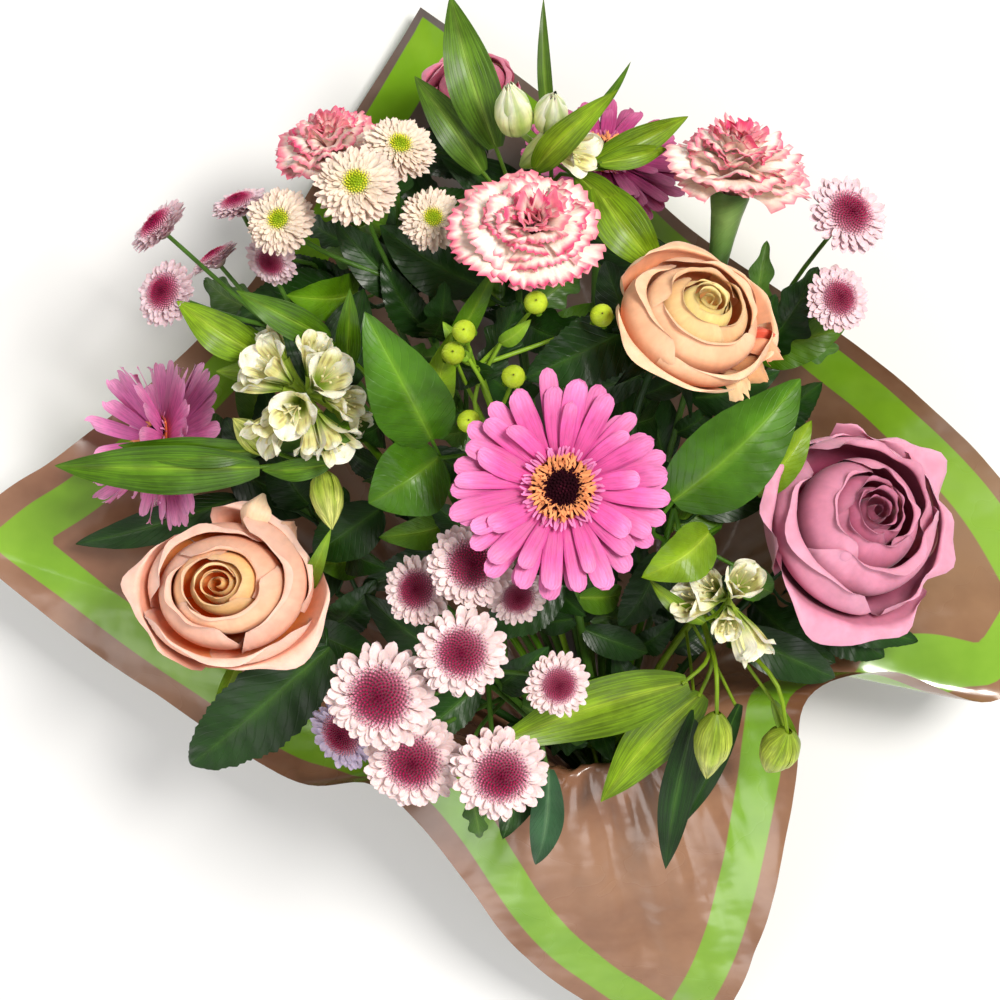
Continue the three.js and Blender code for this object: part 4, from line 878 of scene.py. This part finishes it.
# ---- leaves on the stems that fill the depth of the bunch ----
def place_of(x, y, z):
    """The point at height z that the photograph shows at x, y. w is how far it lies before the point looked at."""
    w = 0.0
    for _ in range(20):
        up = (PHOTO_MIDDLE - y) * (CAMERA_FAR - w) / FOCAL_PIXELS
        w = (z - LOOK_HEIGHT + up * math.sin(TILT)) / math.cos(TILT)
    up = (PHOTO_MIDDLE - y) * (CAMERA_FAR - w) / FOCAL_PIXELS
    return np.array([(x - PHOTO_MIDDLE) * (CAMERA_FAR - w) / FOCAL_PIXELS, up * math.cos(TILT) + w * math.sin(TILT), z])


def clear_of_blooms(points, gap=2.0):
    for spot in SPOTS.values():
        r, away = spot["r"], points - spot["at"]
        height = away @ spot["face"]
        radial = np.linalg.norm(away - height[..., None] * spot["face"], axis=-1)
        if np.any((radial < r + gap) & (height > -0.75 * r - gap) & (height < 0.65 * r + gap)
                  & (radial < r * 1.05 + gap + np.minimum(0, height) * 0.9)):
            return False
    return True


def inside_of(tree, point):
    """How far a point is inside a closed skin, and whether it is inside at all."""
    spot, normal, _, far = tree.find_nearest(Vector(point))
    return far, (Vector(point) - spot).dot(normal) >= 0


def clear_of_film(points, film, gap=3.0):
    for point in points.reshape(-1, 3):
        far, inside = inside_of(film, point)
        if far < gap or not inside:
            return False
    return True


# Where leaves close the depth, as seen in the photograph: x, y, how far down the place may lie
GAPS = [
    (330, 300, 150), (372, 270, 140), (345, 345, 150), (300, 345, 140), (430, 262, 150), (462, 262, 150),
    (408, 300, 150), (440, 330, 160), (500, 340, 165), (540, 350, 165), (575, 345, 160), (505, 300, 150),
    (545, 310, 150), (468, 372, 165), (415, 360, 140), (500, 400, 150), (600, 390, 160), (660, 400, 160),
    (690, 350, 140), (640, 250, 130), (620, 215, 120), (560, 170, 120), (590, 175, 110), (520, 150, 120),
    (760, 330, 130), (790, 310, 140), (800, 345, 130), (740, 400, 140), (775, 415, 140), (800, 470, 130),
    (740, 500, 140), (700, 520, 140), (680, 590, 130), (640, 600, 140), (600, 610, 140), (570, 640, 130),
    (610, 650, 130), (650, 650, 120), (700, 640, 110), (740, 640, 110), (790, 640, 110), (830, 640, 110),
    (560, 600, 150), (540, 560, 150), (500, 520, 140), (450, 520, 150), (420, 540, 150), (390, 500, 150),
    (345, 520, 130), (370, 560, 140), (400, 570, 140), (340, 570, 120), (360, 610, 130), (330, 640, 110),
    (385, 630, 140), (350, 660, 130), (300, 690, 100), (270, 700, 100), (250, 745, 110), (560, 720, 130),
    (600, 740, 120), (540, 760, 130), (640, 740, 110), (660, 780, 120), (690, 800, 130), (430, 800, 150),
    (460, 815, 150), (520, 800, 140), (300, 480, 120), (270, 500, 110), (320, 450, 120), (240, 470, 110),
    (370, 440, 130), (430, 430, 140), (440, 480, 150), (460, 440, 150), (200, 545, 100), (120, 540, 100),
    (250, 400, 120), (290, 310, 130), (240, 310, 120), (365, 230, 140), (395, 235, 130), (450, 210, 130),
    (480, 180, 120), (440, 150, 120), (405, 170, 120), (620, 300, 150), (600, 330, 150), (640, 440, 140),
    (655, 500, 130), (520, 620, 160), (525, 670, 150), (445, 720, 150), (590, 690, 130), (480, 470, 140),
    (650, 410, 130), (680, 425, 130), (700, 400, 130), (630, 420, 140), (610, 620, 120), (640, 570, 120),
    (670, 620, 110), (700, 600, 120), (590, 590, 130), (400, 500, 120), (410, 515, 110), (380, 480, 120),
    (630, 690, 110), (590, 730, 110), (560, 745, 120), (520, 740, 120), (700, 470, 110), (720, 440, 120),
    (470, 250, 130), (340, 250, 110), (310, 270, 110), (290, 280, 110), (270, 440, 100), (225, 430, 90),
]
# Most of these leaves take the darkest green: partly the leaves' own, partly painted shade for the depth of the bunch.
GAP_LEAVES = [("broad", "deep"), ("mum", "deep"), ("rose", "deep"), ("rose", "deep"), ("broad", "deep"),
              ("mum", "stem"), ("broad", "bright")]


def fill_gaps(shapes, film):
    """Grows a leaf from the nearest stem over each gap, where it stays clear of blooms, film and other leaves."""
    random = np.random.default_rng(11)
    names = list(PATHS)
    stems = np.concatenate([PATHS[n] for n in names])
    owner = np.concatenate([[k] * len(PATHS[n]) for k, n in enumerate(names)])
    grown = 0
    for x, y, deep in GAPS:
        for step in range(14):
            z = deep - 7 * (step // 2) + random.uniform(-3, 3)
            middle = place_of(x + 5 * random.standard_normal(), y + 5 * random.standard_normal(), z)
            far = np.linalg.norm(stems - middle, axis=1)
            order = np.argsort(far)
            pick = order[min(int(random.integers(0, 3)) * 3, len(order) - 1)]
            if not 8 < far[pick] < 62:
                continue
            away = middle - stems[pick]
            root = stems[pick] + away * max(0.1, 1 - 26 / far[pick])
            tip = middle + unit(away + [0, 14, 0]) * random.uniform(20, 30)
            length = np.linalg.norm(tip - root)
            kind, green = GAP_LEAVES[int(random.integers(0, len(GAP_LEAVES)))]
            width, seed = length * random.uniform(0.4, 0.56), int(random.integers(1, 9999))
            trial = (root, tip, width, 5, kind, green, seed)
            made = leaf(Shape(), *trial)[::4, ::2]
            if not clear_of_blooms(made) or not clear_of_film(made, film):
                continue
            tree = tree_of(made)
            if any(tree.overlap(other) for other in LEAF_TREES):
                continue
            LEAF_TREES.append(tree)
            shape = shapes[names[owner[pick]]]
            leaf(shape, *trial)
            bend = (stems[pick] + root) / 2 - AXIS * 0.12 * np.linalg.norm(away)
            tube(shape, evenly([stems[pick], bend, root + (tip - root) * 0.04], 6), 0.9, GREENS[green][1], sides=6)
            grown += 1
            break
    print("leaves in the gaps:", grown)


# ---- the film ----
PER_SIDE, ROWS, SKIRT_ROWS = 96, 74, 6
NECK_SHARE, OPEN_SHARE = 1 / 12, 11 / 12
# the gathers and creases, as waves round the sheet: how many, how far they stand off
FOLDS = [(20, 1.0), (13, 1.1), (31, 0.6), (47, 0.35), (7, 1.2)]


def film_shape():
    """The film's grid of points, and its sheet. grain holds the way in from the sheet's edge, in metres."""
    sides = []
    for first, last in zip(CORNERS, CORNERS[1:] + [len(RIM)]):
        spots = [RIM[i % len(RIM)] for i in range(first, last + 1)]
        sides.append(evenly(spots, PER_SIDE)[:-1])
    rim = np.concatenate(sides)
    columns = len(rim)
    share = np.arange(columns) / columns
    angle = FIRST_CORNER_ANGLE + TURN * share
    around = SIDEWAYS * np.cos(angle)[:, None] + UPWARDS * np.sin(angle)[:, None]
    phases = np.random.default_rng(7).uniform(0, TURN, len(FOLDS))

    def fold(t):
        total = np.zeros(columns)
        for (times, size), phase in zip(FOLDS, phases):
            drift = 0.25 * np.sin(2.3 * t + phase)
            total += size * (np.abs(np.sin(0.5 * times * (TURN * share + drift) + phase)) - 0.64)
        return total

    points = []
    for s in np.arange(SKIRT_ROWS) / (SKIRT_ROWS - 1):
        along = -SKIRT + (SKIRT - TIE_WIDTH * 0.7) * s
        wide = 1.3 - 0.3 * smooth(0, 1, s)
        out = (NECK_RADIUS - 0.4) * wide + 0.7 * fold(-0.2 * (1 - s)) * (1.5 - s)
        points.append(TIE + AXIS * along + around * out[:, None])
    for t in np.arange(ROWS) / (ROWS - 1):
        spot = TIE + AXIS * (-TIE_WIDTH * 0.7 + 2 * TIE_WIDTH * 0.7 * min(1, t * 12)) + around * NECK_RADIUS
        opened = max(0, (t - NECK_SHARE) / OPEN_SHARE)
        if t > NECK_SHARE:
            cone = TIE + AXIS * CONE_REACH + around * (NECK_RADIUS + CONE_FLARE)
            spot = curve_at([spot, cone, rim], opened)
        size = np.interp(t, [0, 0.1, 0.3, 0.7, 1], [0.7, 0.8, 2.8, 2.6, 0.8])
        spot = spot + around * (fold(t) * size)[:, None]
        spot[:, 2] -= (SAG + UNDER_SAG * np.maximum(0, -around[:, 2])) * math.sin(math.pi * opened)
        spot[:, 2] = np.maximum(spot[:, 2], 0.5)
        points.append(spot)
    points = np.array(points)
    edge = np.full(points.shape[:2], 1.0)
    for start, way in zip(rim, np.roll(rim, -1, axis=0) - rim):
        along = np.clip((points - start) @ way / (way @ way), 0, 1)
        edge = np.minimum(edge, np.linalg.norm(points - start - along[..., None] * way, axis=2) / 1000)
    shift = np.interp(share, [0, 0.06, 0.16, 0.25, 0.5, 0.7, 0.84, 0.94, 1], [8, 6, 3.5, 3, 2, -1, -1, 6, 8]) / 1000
    # A tint on the brown round the rim: greyer at the top corner, where the grey floor shows through the clear film,
    # painted in; and darker and duller towards the right corner, painted shade.
    seen = [np.interp(share, [0, 0.08, 0.2, 0.4, 0.6, 0.92, 1], column) for column in
            ([0.48, 0.75, 0.8, 1.04, 1, 0.9, 0.48], [0.9, 0.92, 0.86, 1.0, 0.98, 0.96, 0.9],
             [1.6, 1.2, 0.76, 0.94, 0.98, 1.1, 1.6])]
    shape = Shape()
    shape.sheet(points, np.stack(seen, axis=-1), closed=True,
                grain=np.stack([edge + shift, np.broadcast_to(share, edge.shape)], axis=-1))
    return points, shape


# ---- materials ----
def new_material(name, roughness, subsurface=0.0, sheen=0.0, coat=0.0, specular=0.5):
    material = bpy.data.materials.new(name)
    material.use_nodes = True
    tree = material.node_tree
    shader = tree.nodes["Principled BSDF"]
    for socket, value in (("Roughness", roughness), ("Specular IOR Level", specular), ("Subsurface Weight", subsurface),
                          ("Subsurface Radius", (0.6, 0.35, 0.2)), ("Subsurface Scale", 0.004), ("Sheen Weight", sheen),
                          ("Sheen Roughness", 0.4), ("Coat Weight", coat), ("Coat Roughness", 0.2)):
        shader.inputs[socket].default_value = value
    return material, tree, shader


def feed(tree, socket, value):
    """Gives a socket a number or a colour, or links another node's output to it."""
    if isinstance(value, (int, float)):
        socket.default_value = value
    elif isinstance(value, (tuple, np.ndarray)):
        socket.default_value = (*[float(x) for x in value], 1)
    else:
        tree.links.new(value, socket)


def math_node(tree, kind, a, b):
    node = tree.nodes.new("ShaderNodeMath")
    node.operation = kind
    feed(tree, node.inputs[0], a)
    feed(tree, node.inputs[1], b)
    return node.outputs[0]


def times(tree, a, b):
    return math_node(tree, "MULTIPLY", a, b)


def map_range(tree, value, low, high, to_low, to_high):
    node = tree.nodes.new("ShaderNodeMapRange")
    node.interpolation_type = "SMOOTHSTEP"
    for name, number in (("From Min", low), ("From Max", high), ("To Min", to_low), ("To Max", to_high)):
        node.inputs[name].default_value = number
    tree.links.new(value, node.inputs["Value"])
    return node.outputs["Result"]


def clouded(tree, cloud, low, high):
    """A noise's middle, drawn out from low to high."""
    return map_range(tree, cloud, 0.3, 0.7, low, high)


def mix_colour(tree, share, a, b, kind="MIX"):
    node = tree.nodes.new("ShaderNodeMix")
    node.data_type = "RGBA"
    node.blend_type = kind
    for number, value in ((0, share), (6, a), (7, b)):
        feed(tree, node.inputs[number], value)
    return node.outputs[2]


def tint_of(tree):
    """The sheet's own colour."""
    node = tree.nodes.new("ShaderNodeAttribute")
    node.attribute_name = "tint"
    return node.outputs["Color"]


def shaded_tint(tree, shade):
    """The sheet's own colour, times a grey shade."""
    grey = tree.nodes.new("ShaderNodeCombineColor")
    for socket in grey.inputs:
        tree.links.new(shade, socket)
    return mix_colour(tree, 1.0, tint_of(tree), grey.outputs[0], "MULTIPLY")


def grain_of(tree):
    """The place in the grain, as a whole, across and along."""
    node = tree.nodes.new("ShaderNodeUVMap")
    node.uv_map = "grain"
    parts = tree.nodes.new("ShaderNodeSeparateXYZ")
    tree.links.new(node.outputs[0], parts.inputs[0])
    return node.outputs[0], parts.outputs[0], parts.outputs[1]


def noise(tree, scale, detail=3.0, roughness=0.55, grain=None, stretch=None):
    """Noise in the object's own space, or in the grain stretched by the two numbers of stretch."""
    node = tree.nodes.new("ShaderNodeTexNoise")
    node.inputs["Scale"].default_value = scale
    node.inputs["Detail"].default_value = detail
    node.inputs["Roughness"].default_value = roughness
    if grain is not None:
        mapping = tree.nodes.new("ShaderNodeMapping")
        mapping.inputs["Scale"].default_value = (*stretch, 1)
        tree.links.new(grain, mapping.inputs["Vector"])
        tree.links.new(mapping.outputs[0], node.inputs["Vector"])
    else:
        tree.links.new(tree.nodes.new("ShaderNodeTexCoord").outputs["Object"], node.inputs["Vector"])
    return node.outputs["Fac"]


def finish(tree, shader, colour, roughness, height, strength, distance):
    """Links the colour, the roughness and a bump to the shader."""
    node = tree.nodes.new("ShaderNodeBump")
    node.inputs["Strength"].default_value = strength
    node.inputs["Distance"].default_value = distance
    tree.links.new(height, node.inputs["Height"])
    tree.links.new(colour, shader.inputs["Base Color"])
    tree.links.new(roughness, shader.inputs["Roughness"])
    tree.links.new(node.outputs[0], shader.inputs["Normal"])


def petal_material(name, veins, roughness=0.5, subsurface=0.25, depth=0.14, mottle=0.16, sheen=0.1, specular=0.3):
    """Petals: the sheet's own colour, fine veins that run to the tip, and a soft mottle."""
    material, tree, shader = new_material(name, roughness, subsurface=subsurface, sheen=sheen, specular=specular)
    streak = noise(tree, 2.2, detail=4, grain=grain_of(tree)[0], stretch=(veins, 1.6))
    soft = noise(tree, 160, detail=2)
    lines = clouded(tree, streak, 1 - depth, 1 + depth)
    shade = times(tree, lines, clouded(tree, soft, 1 - mottle / 2, 1 + mottle / 2))
    finish(tree, shader, shaded_tint(tree, shade), clouded(tree, soft, roughness - 0.06, roughness + 0.08),
           streak, 0.35, 0.0006)
    return material


def leaf_material(name, pattern, roughness=0.42):
    """Leaves and stems: side veins or parallel veins in the grain, a waxy skin and blotches."""
    material, tree, shader = new_material(name, roughness, subsurface=0.08, coat=0.06, specular=0.28)
    grain, u, v = grain_of(tree)
    middle = tree.nodes.new("ShaderNodeMath")
    middle.operation = "ABSOLUTE"
    tree.links.new(math_node(tree, "SUBTRACT", u, 0.5), middle.inputs[0])
    side = middle.outputs[0]
    wobble = noise(tree, 90, detail=2)
    blotch = noise(tree, 55, detail=4)
    shade = map_range(tree, blotch, 0.3, 0.72, 0.72, 1.22)
    if pattern == "side":
        run = math_node(tree, "SUBTRACT", times(tree, v, 13), times(tree, side, 7))
        run = math_node(tree, "ADD", run, times(tree, wobble, 0.5))
    else:
        run = math_node(tree, "ADD", times(tree, u, 11), times(tree, wobble, 0.25))
        streak = noise(tree, 1.6, grain=grain, stretch=(14, 1.8))
        shade = times(tree, shade, map_range(tree, streak, 0.4, 0.62, 0.66, 1.12))
    vein = map_range(tree, math_node(tree, "PINGPONG", run, 0.5), 0.0, 0.12, 1.0, 0.0)
    rib = map_range(tree, side, 0.0, 0.035, 1.0, 0.0)
    lines = math_node(tree, "MAXIMUM", times(tree, vein, 0.45), rib)
    colour = shaded_tint(tree, shade)
    light = mix_colour(tree, 1.0, colour, (1.5, 1.45, 1.35), "MULTIPLY")
    colour = mix_colour(tree, times(tree, lines, 0.45), colour, light)
    height = math_node(tree, "SUBTRACT", times(tree, noise(tree, 420, detail=2), 0.2), lines)
    finish(tree, shader, colour, clouded(tree, blotch, roughness - 0.1, roughness + 0.12), height, 0.5, 0.0006)
    return material


def film_material():
    """Glossy film: rose brown, with a lime stripe set a little inside every edge of the square."""
    material, tree, shader = new_material("film", 0.24, coat=0.5, specular=0.6)
    edge = grain_of(tree)[1]
    stripe = times(tree, map_range(tree, edge, 0.0115, 0.0123, 0, 1), map_range(tree, edge, 0.0325, 0.0333, 1, 0))
    # The brown and the lime go lighter and darker together in broad patches: painted sheen of the film's folds.
    share = clouded(tree, noise(tree, 9, detail=5, roughness=0.6), 0, 1)
    brown = mix_colour(tree, share, rgb(0x7a5038), rgb(0xa2785a))
    lime = mix_colour(tree, share, rgb(0x6c9c18), rgb(0x88b430))
    brown = mix_colour(tree, 1.0, brown, tint_of(tree), "MULTIPLY")
    crumple = noise(tree, 16, roughness=0.45)
    colour = mix_colour(tree, stripe, brown, lime)
    finish(tree, shader, colour, clouded(tree, crumple, 0.14, 0.32), crumple, 0.5, 0.012)
    return material


def ribbon_material():
    """Satin ribbon: fine threads along the band."""
    material, tree, shader = new_material("ribbon", 0.38, sheen=0.3)
    threads = math_node(tree, "PINGPONG", times(tree, grain_of(tree)[2], 60), 0.5)
    cloud = noise(tree, 140)
    shade = mix_colour(tree, clouded(tree, cloud, 0, 1), rgb(0x6fa02a), rgb(0x93c447))
    finish(tree, shader, shade, clouded(tree, cloud, 0.3, 0.46), threads, 0.3, 0.0004)
    return material


ROSE_PETAL = petal_material("rose_petal", 7, depth=0.06, mottle=0.1)
CARNATION_PETAL = petal_material("carnation_petal", 12, roughness=0.6, depth=0.1)
GERBERA_PETAL = petal_material("gerbera_petal", 5, depth=0.16)
MUM_PETAL = petal_material("mum_petal", 3, roughness=0.65, depth=0.06, mottle=0.08, sheen=0.0, specular=0.12)
LILY_PETAL = petal_material("alstroemeria_petal", 8, roughness=0.45, depth=0.1)
DISC = petal_material("gerbera_disc", 3, roughness=0.8, subsurface=0.0, mottle=0.3, sheen=0.0, specular=0.06)
NET_LEAF = leaf_material("net_leaf", "side")
BLADE_LEAF = leaf_material("blade_leaf", "parallel", roughness=0.45)

# ---- building the pieces ----
# share of the solid's radius, squeeze along the photo's upright, pull to the front, unrest, colours
ROSES = {
    "rose_peach_left": (0.98, 0.84, 0.06, 1.0, tones(0xfccf86, 0xf0b89e, 0xf6cfc2, 0xe88a40)),
    "rose_peach_right": (0.9, 0.9, 0.06, 1.0, tones(0xfae694, 0xe6ac86, 0xf0caa8, 0xd88850)),
    "rose_mauve_right": (0.98, 1.0, 0.2, 2.2, tones(0xc26686, 0xd0849e, 0xe0a4ba, 0x9a405e)),
    "rose_mauve_top": (0.82, 1.0, 0.06, 1.0, tones(0xb04a68, 0xc25c78, 0xda90a4, 0x7e2c44)),
}
# Bent petals on one side: the side, then angle from it, height, reach, width, share torn, colour of each
TORN = {
    "rose_peach_right": ([1, -0.3, 0], [(0.0, 0.0, 1.12, 0.17, 1, rgb(0xdc9c78)),
                                        (0.2, 0.0, 1.08, 0.12, 0.5, rgb(0xcc5a44)),
                                        (-0.28, -0.1, 1.1, 0.2, 0.8, rgb(0xc89468)),
                                        (-0.6, -0.16, 1.06, 0.2, 1, rgb(0xd8b488))]),
    "rose_peach_left": ([0.3, 1, 0], [(0.0, 0.08, 1.12, 0.24, 0.1, rgb(0xf0ccaa)),
                                      (-0.42, -0.04, 1.03, 0.26, 0.3, rgb(0xe4b094))]),
}
# squeeze, where the coral edge starts, looseness, number of petals
CARNATIONS = {
    "carnation_centre": (0.82, 0.89, 1.7, 36),
    "carnation_right": (1.0, 0.89, 1.2, 42),
    "carnation_left": (1.0, 0.82, 1.2, 42),
}
for index, (name, (kind, at, face, r)) in enumerate(BLOOMS.items()):
    shape = Shape()
    turn = turn_to(face, index * 0.7)
    at = np.array(at, float)
    if kind == "rose":
        share, squeeze, pull, wild, colours = ROSES[name]
        rose(Place(shape, r * share, turn, at, squeeze), index + 3, colours, turn.T @ [-0.25, -1, 0.0], pull, wild)
        if name in TORN:
            scraps(Place(shape, r * 0.94, turn, at), TORN[name][0], index, TORN[name][1])
        material, slot = ROSE_PETAL, "peach_petals" if "peach" in name else "mauve_petals"
    elif kind == "carnation":
        squeeze, rim, loose, count = CARNATIONS[name]
        carnation(Place(shape, r, turn, at, squeeze), index + 3, tones(0xfdeadc, 0xde3870, 0xf4ccb4), rim, loose, count)
        material, slot = CARNATION_PETAL, "carnation_petals"
    else:
        material, slot = MUM_PETAL, "mum_petals"
        if "pale" in name:
            pale_mum(Place(shape, r, turn, at), index + 3, *tones(0xf2ddd0, 0xe4beb0, 0xe2de3c, 0x94ae18))
        else:
            # mum_front_6 is a greyer lilac white than the other front mums: painted shade, as it sits low in the shade
            # of its neighbours.
            white = 0xcdbcd4 if name == "mum_front_6" else 0xf2d9d8 if "front" in name else 0xe8ccd2
            mum(Place(shape, r, turn, at), index + 3, *tones(white, 0xe2b4c0, 0x9a1048, 0xc4527e))
    shape.make(name + "_petals", material, name, slot)

# colours, share of the solid's radius, sweep, width, number of petals, slot
GERBERA_LOOKS = {
    "gerbera_front": (tones(0xba2074, 0xd44e96, 0xe482b8), 1, 0.0, 1.0, 1.0, "pink_petals"),
    # gerbera_left is lighter and more lilac than gerbera_front, whose pink slot it shares: its lightness is painted
    # light on the face that turns away from the lamps.
    "gerbera_left": (tones(0xc04492, 0xdc70b0, 0xf0a0cc), 0.95, 0.34, 1.12, 1.3, "pink_petals"),
    # gerbera_top is a darker magenta: partly its own colour, partly painted shade on the petal backs that it turns to
    # the camera.
    "gerbera_top": (tones(0x86184f, 0xa93572, 0xc2608e), 1, 0.0, 1.0, 1.0, "magenta_petals"),
}
for index, (name, (at, face, r)) in enumerate(GERBERAS.items()):
    colours, share, swept, wide, many, slot = GERBERA_LOOKS[name]
    turn, at = turn_to(face), np.array(at, float)
    shape = Shape()
    gerbera_petals(Place(shape, r * share, turn, at), 50 + index, colours, swept, wide, many)
    shape.make(name + "_fine_petals", GERBERA_PETAL, name + "_petals", slot)
    shape = Shape()
    gerbera_eye(Place(shape, r, turn, at), 60 + index, *tones(0xf3a06a, 0xd8683c, 0x260610))
    shape.make(name + "_fine_eye", DISC, name + "_eye", "gerbera_disc")

LILY = tones(0xf0ecd8, 0xe6e2a8, 0x9cb63c, 0x7a4a3a)
# Half-closed florets between the full ones: place, share of the bunch's size
MORE_FLORETS = {
    "alstroemeria_left_florets": [
        ([-112, 58, 196], 1.1), ([-84, 72, 200], 1.1), ([-70, 50, 204], 1.0), ([-98, 44, 206], 1.1),
        ([-86, 30, 198], 1.0), ([-66, 40, 196], 0.9), ([-104, 76, 190], 0.9)],
    "alstroemeria_right_florets": [([98, -40, 198], 1.0), ([106, -56, 204], 0.9)],
}
for index, (name, (heart, size, trumpets, buds)) in enumerate(FLORETS.items()):
    shape = Shape()
    for k, at in enumerate(trumpets):
        trumpet(shape, heart, at, size * 1.2, 20 * index + k, 0.6 if "right" in name else 0.8)
    for k, (at, share) in enumerate(MORE_FLORETS.get(name, [])):
        trumpet(shape, heart, at, size * share, 20 * index + k + 9, 0.62)
    for base, tip, radius in buds:
        base, tip = np.array(base, float), np.array(tip, float)
        tube(shape, evenly([heart, base + (tip - base) * 0.1], 4), 1.5, rgb(0x9ab85a), sides=7)
        bud(shape, base, tip, radius, tones(0x86a828, 0xd8de90, 0xf7f5dc), int(base[0]) + 600, slack=0.12)
    shape.make(name + "_fine", LILY_PETAL, name, "white_petals")

film_points, film = film_shape()
skin = np.concatenate([film_points, film_points[:, :1]], axis=1)[SKIRT_ROWS::3, ::3]
film_tree = tree_of(skin)
if not inside_of(film_tree, TIE + AXIS * 120 + UPWARDS * 12)[1]:
    film_tree = tree_of(skin[:, ::-1])
film.make("film_sheet", film_material(), "wrap", "film")

spray_shapes = {spray["name"]: add_spray(spray, slot, seed)
                for seed, (spray, slot) in enumerate(zip(SPRAYS, SLOTS), start=1)}
fill_gaps(spray_shapes, film_tree)
for name, shape in spray_shapes.items():
    material = BLADE_LEAF if "alstroemeria" in name else NET_LEAF
    dark_ones = name.startswith("stem_rose") or name == "foliage_low"
    shape.make(name + "_fine", material, name, "dark_green" if dark_ones else "green")

# The ribbon goes round twice, and its turns overlap by 2.4 mm
RIBBON_LAP = 1.2
RIBBON_RISE = 0.6
band = Shape()
inner = NECK_RADIUS + PLEAT + FILM / 2 + CLEAR
angle = np.arange(96) * TURN / 96
for number, (low, high) in enumerate(((-TIE_WIDTH / 2, RIBBON_LAP), (-RIBBON_LAP, TIE_WIDTH / 2))):
    rings = []
    for z in np.linspace(low, high, 7):
        puff = 0.5 * math.cos((z - (low + high) / 2) / (high - low) * math.pi)
        radius = inner + 0.5 + puff + RIBBON_RISE * number + 0.16 * np.sin(angle * 23 + z * 0.4)
        x, y = (radius * np.cos(angle))[:, None], (radius * np.sin(angle))[:, None]
        rings.append(TIE + AXIS * z + SIDEWAYS * x + UPWARDS * y)
    band.sheet(np.array(rings), rgb(0x86b93a), closed=True)
band.make("tie_ribbon", ribbon_material(), "tie", "ribbon")

# ---- floor, light and camera ----
FLOOR_HALF, FLOOR_Z = 4, -0.0005
FLOOR_GREY = 0.86
WORLD_LIGHT = 0.42


def add_object(name, data):
    obj = bpy.data.objects.new(name, data)
    bpy.context.scene.collection.objects.link(obj)
    return obj


floor_mesh = bpy.data.meshes.new("floor")
corners = [(FLOOR_HALF * x, FLOOR_HALF * y, FLOOR_Z) for x, y in ((-1, -1), (1, -1), (1, 1), (-1, 1))]
floor_mesh.from_pydata(corners, [], [(0, 1, 2, 3)])
floor_material, _, floor_shader = new_material("floor", 0.8)
floor_shader.inputs["Base Color"].default_value = (FLOOR_GREY, FLOOR_GREY, FLOOR_GREY, 1)
floor_mesh.materials.append(floor_material)
add_object("floor", floor_mesh)

world = bpy.data.worlds.new("studio")
bpy.context.scene.world = world
world.use_nodes = True
world.node_tree.nodes["Background"].inputs[0].default_value = (1, 0.99, 0.97, 1)
world.node_tree.nodes["Background"].inputs[1].default_value = WORLD_LIGHT

# Lamps aimed at one point: place in metres, size, power, colour
LIT = Vector((0, 0, 0.1))
for name, place, size, power, colour in (("key", (0.6, 0.8, 1.6), 0.45, 32, (1, 0.97, 0.92)),
                                         ("fill", (-1.2, -0.5, 1.3), 1.2, 8, (1, 0.98, 0.96)),
                                         ("front", (0.2, -1.4, 1.0), 1.0, 7, (1, 1, 1))):
    light = bpy.data.lights.new(name, "AREA")
    light.size, light.energy, light.color = size, power, colour
    lamp = add_object(name, light)
    lamp.location = place
    lamp.rotation_euler = (LIT - Vector(place)).to_track_quat("-Z", "Y").to_euler()

up = Vector((0, math.cos(TILT), -math.sin(TILT)))
back = Vector((0, math.sin(TILT), math.cos(TILT)))
camera = bpy.data.cameras.new("camera")
camera.sensor_width, camera.lens = 36, 77.4
camera_obj = add_object("camera", camera)
pose = Matrix((Vector((1, 0, 0)), up, back)).transposed().to_4x4()
pose.translation = Vector((TO_ORIGIN + [0, 0, LOOK_HEIGHT]) / 1000) + back
camera_obj.matrix_world = pose
bpy.context.scene.camera = camera_obj
bpy.context.scene.view_settings.view_transform = "Standard"
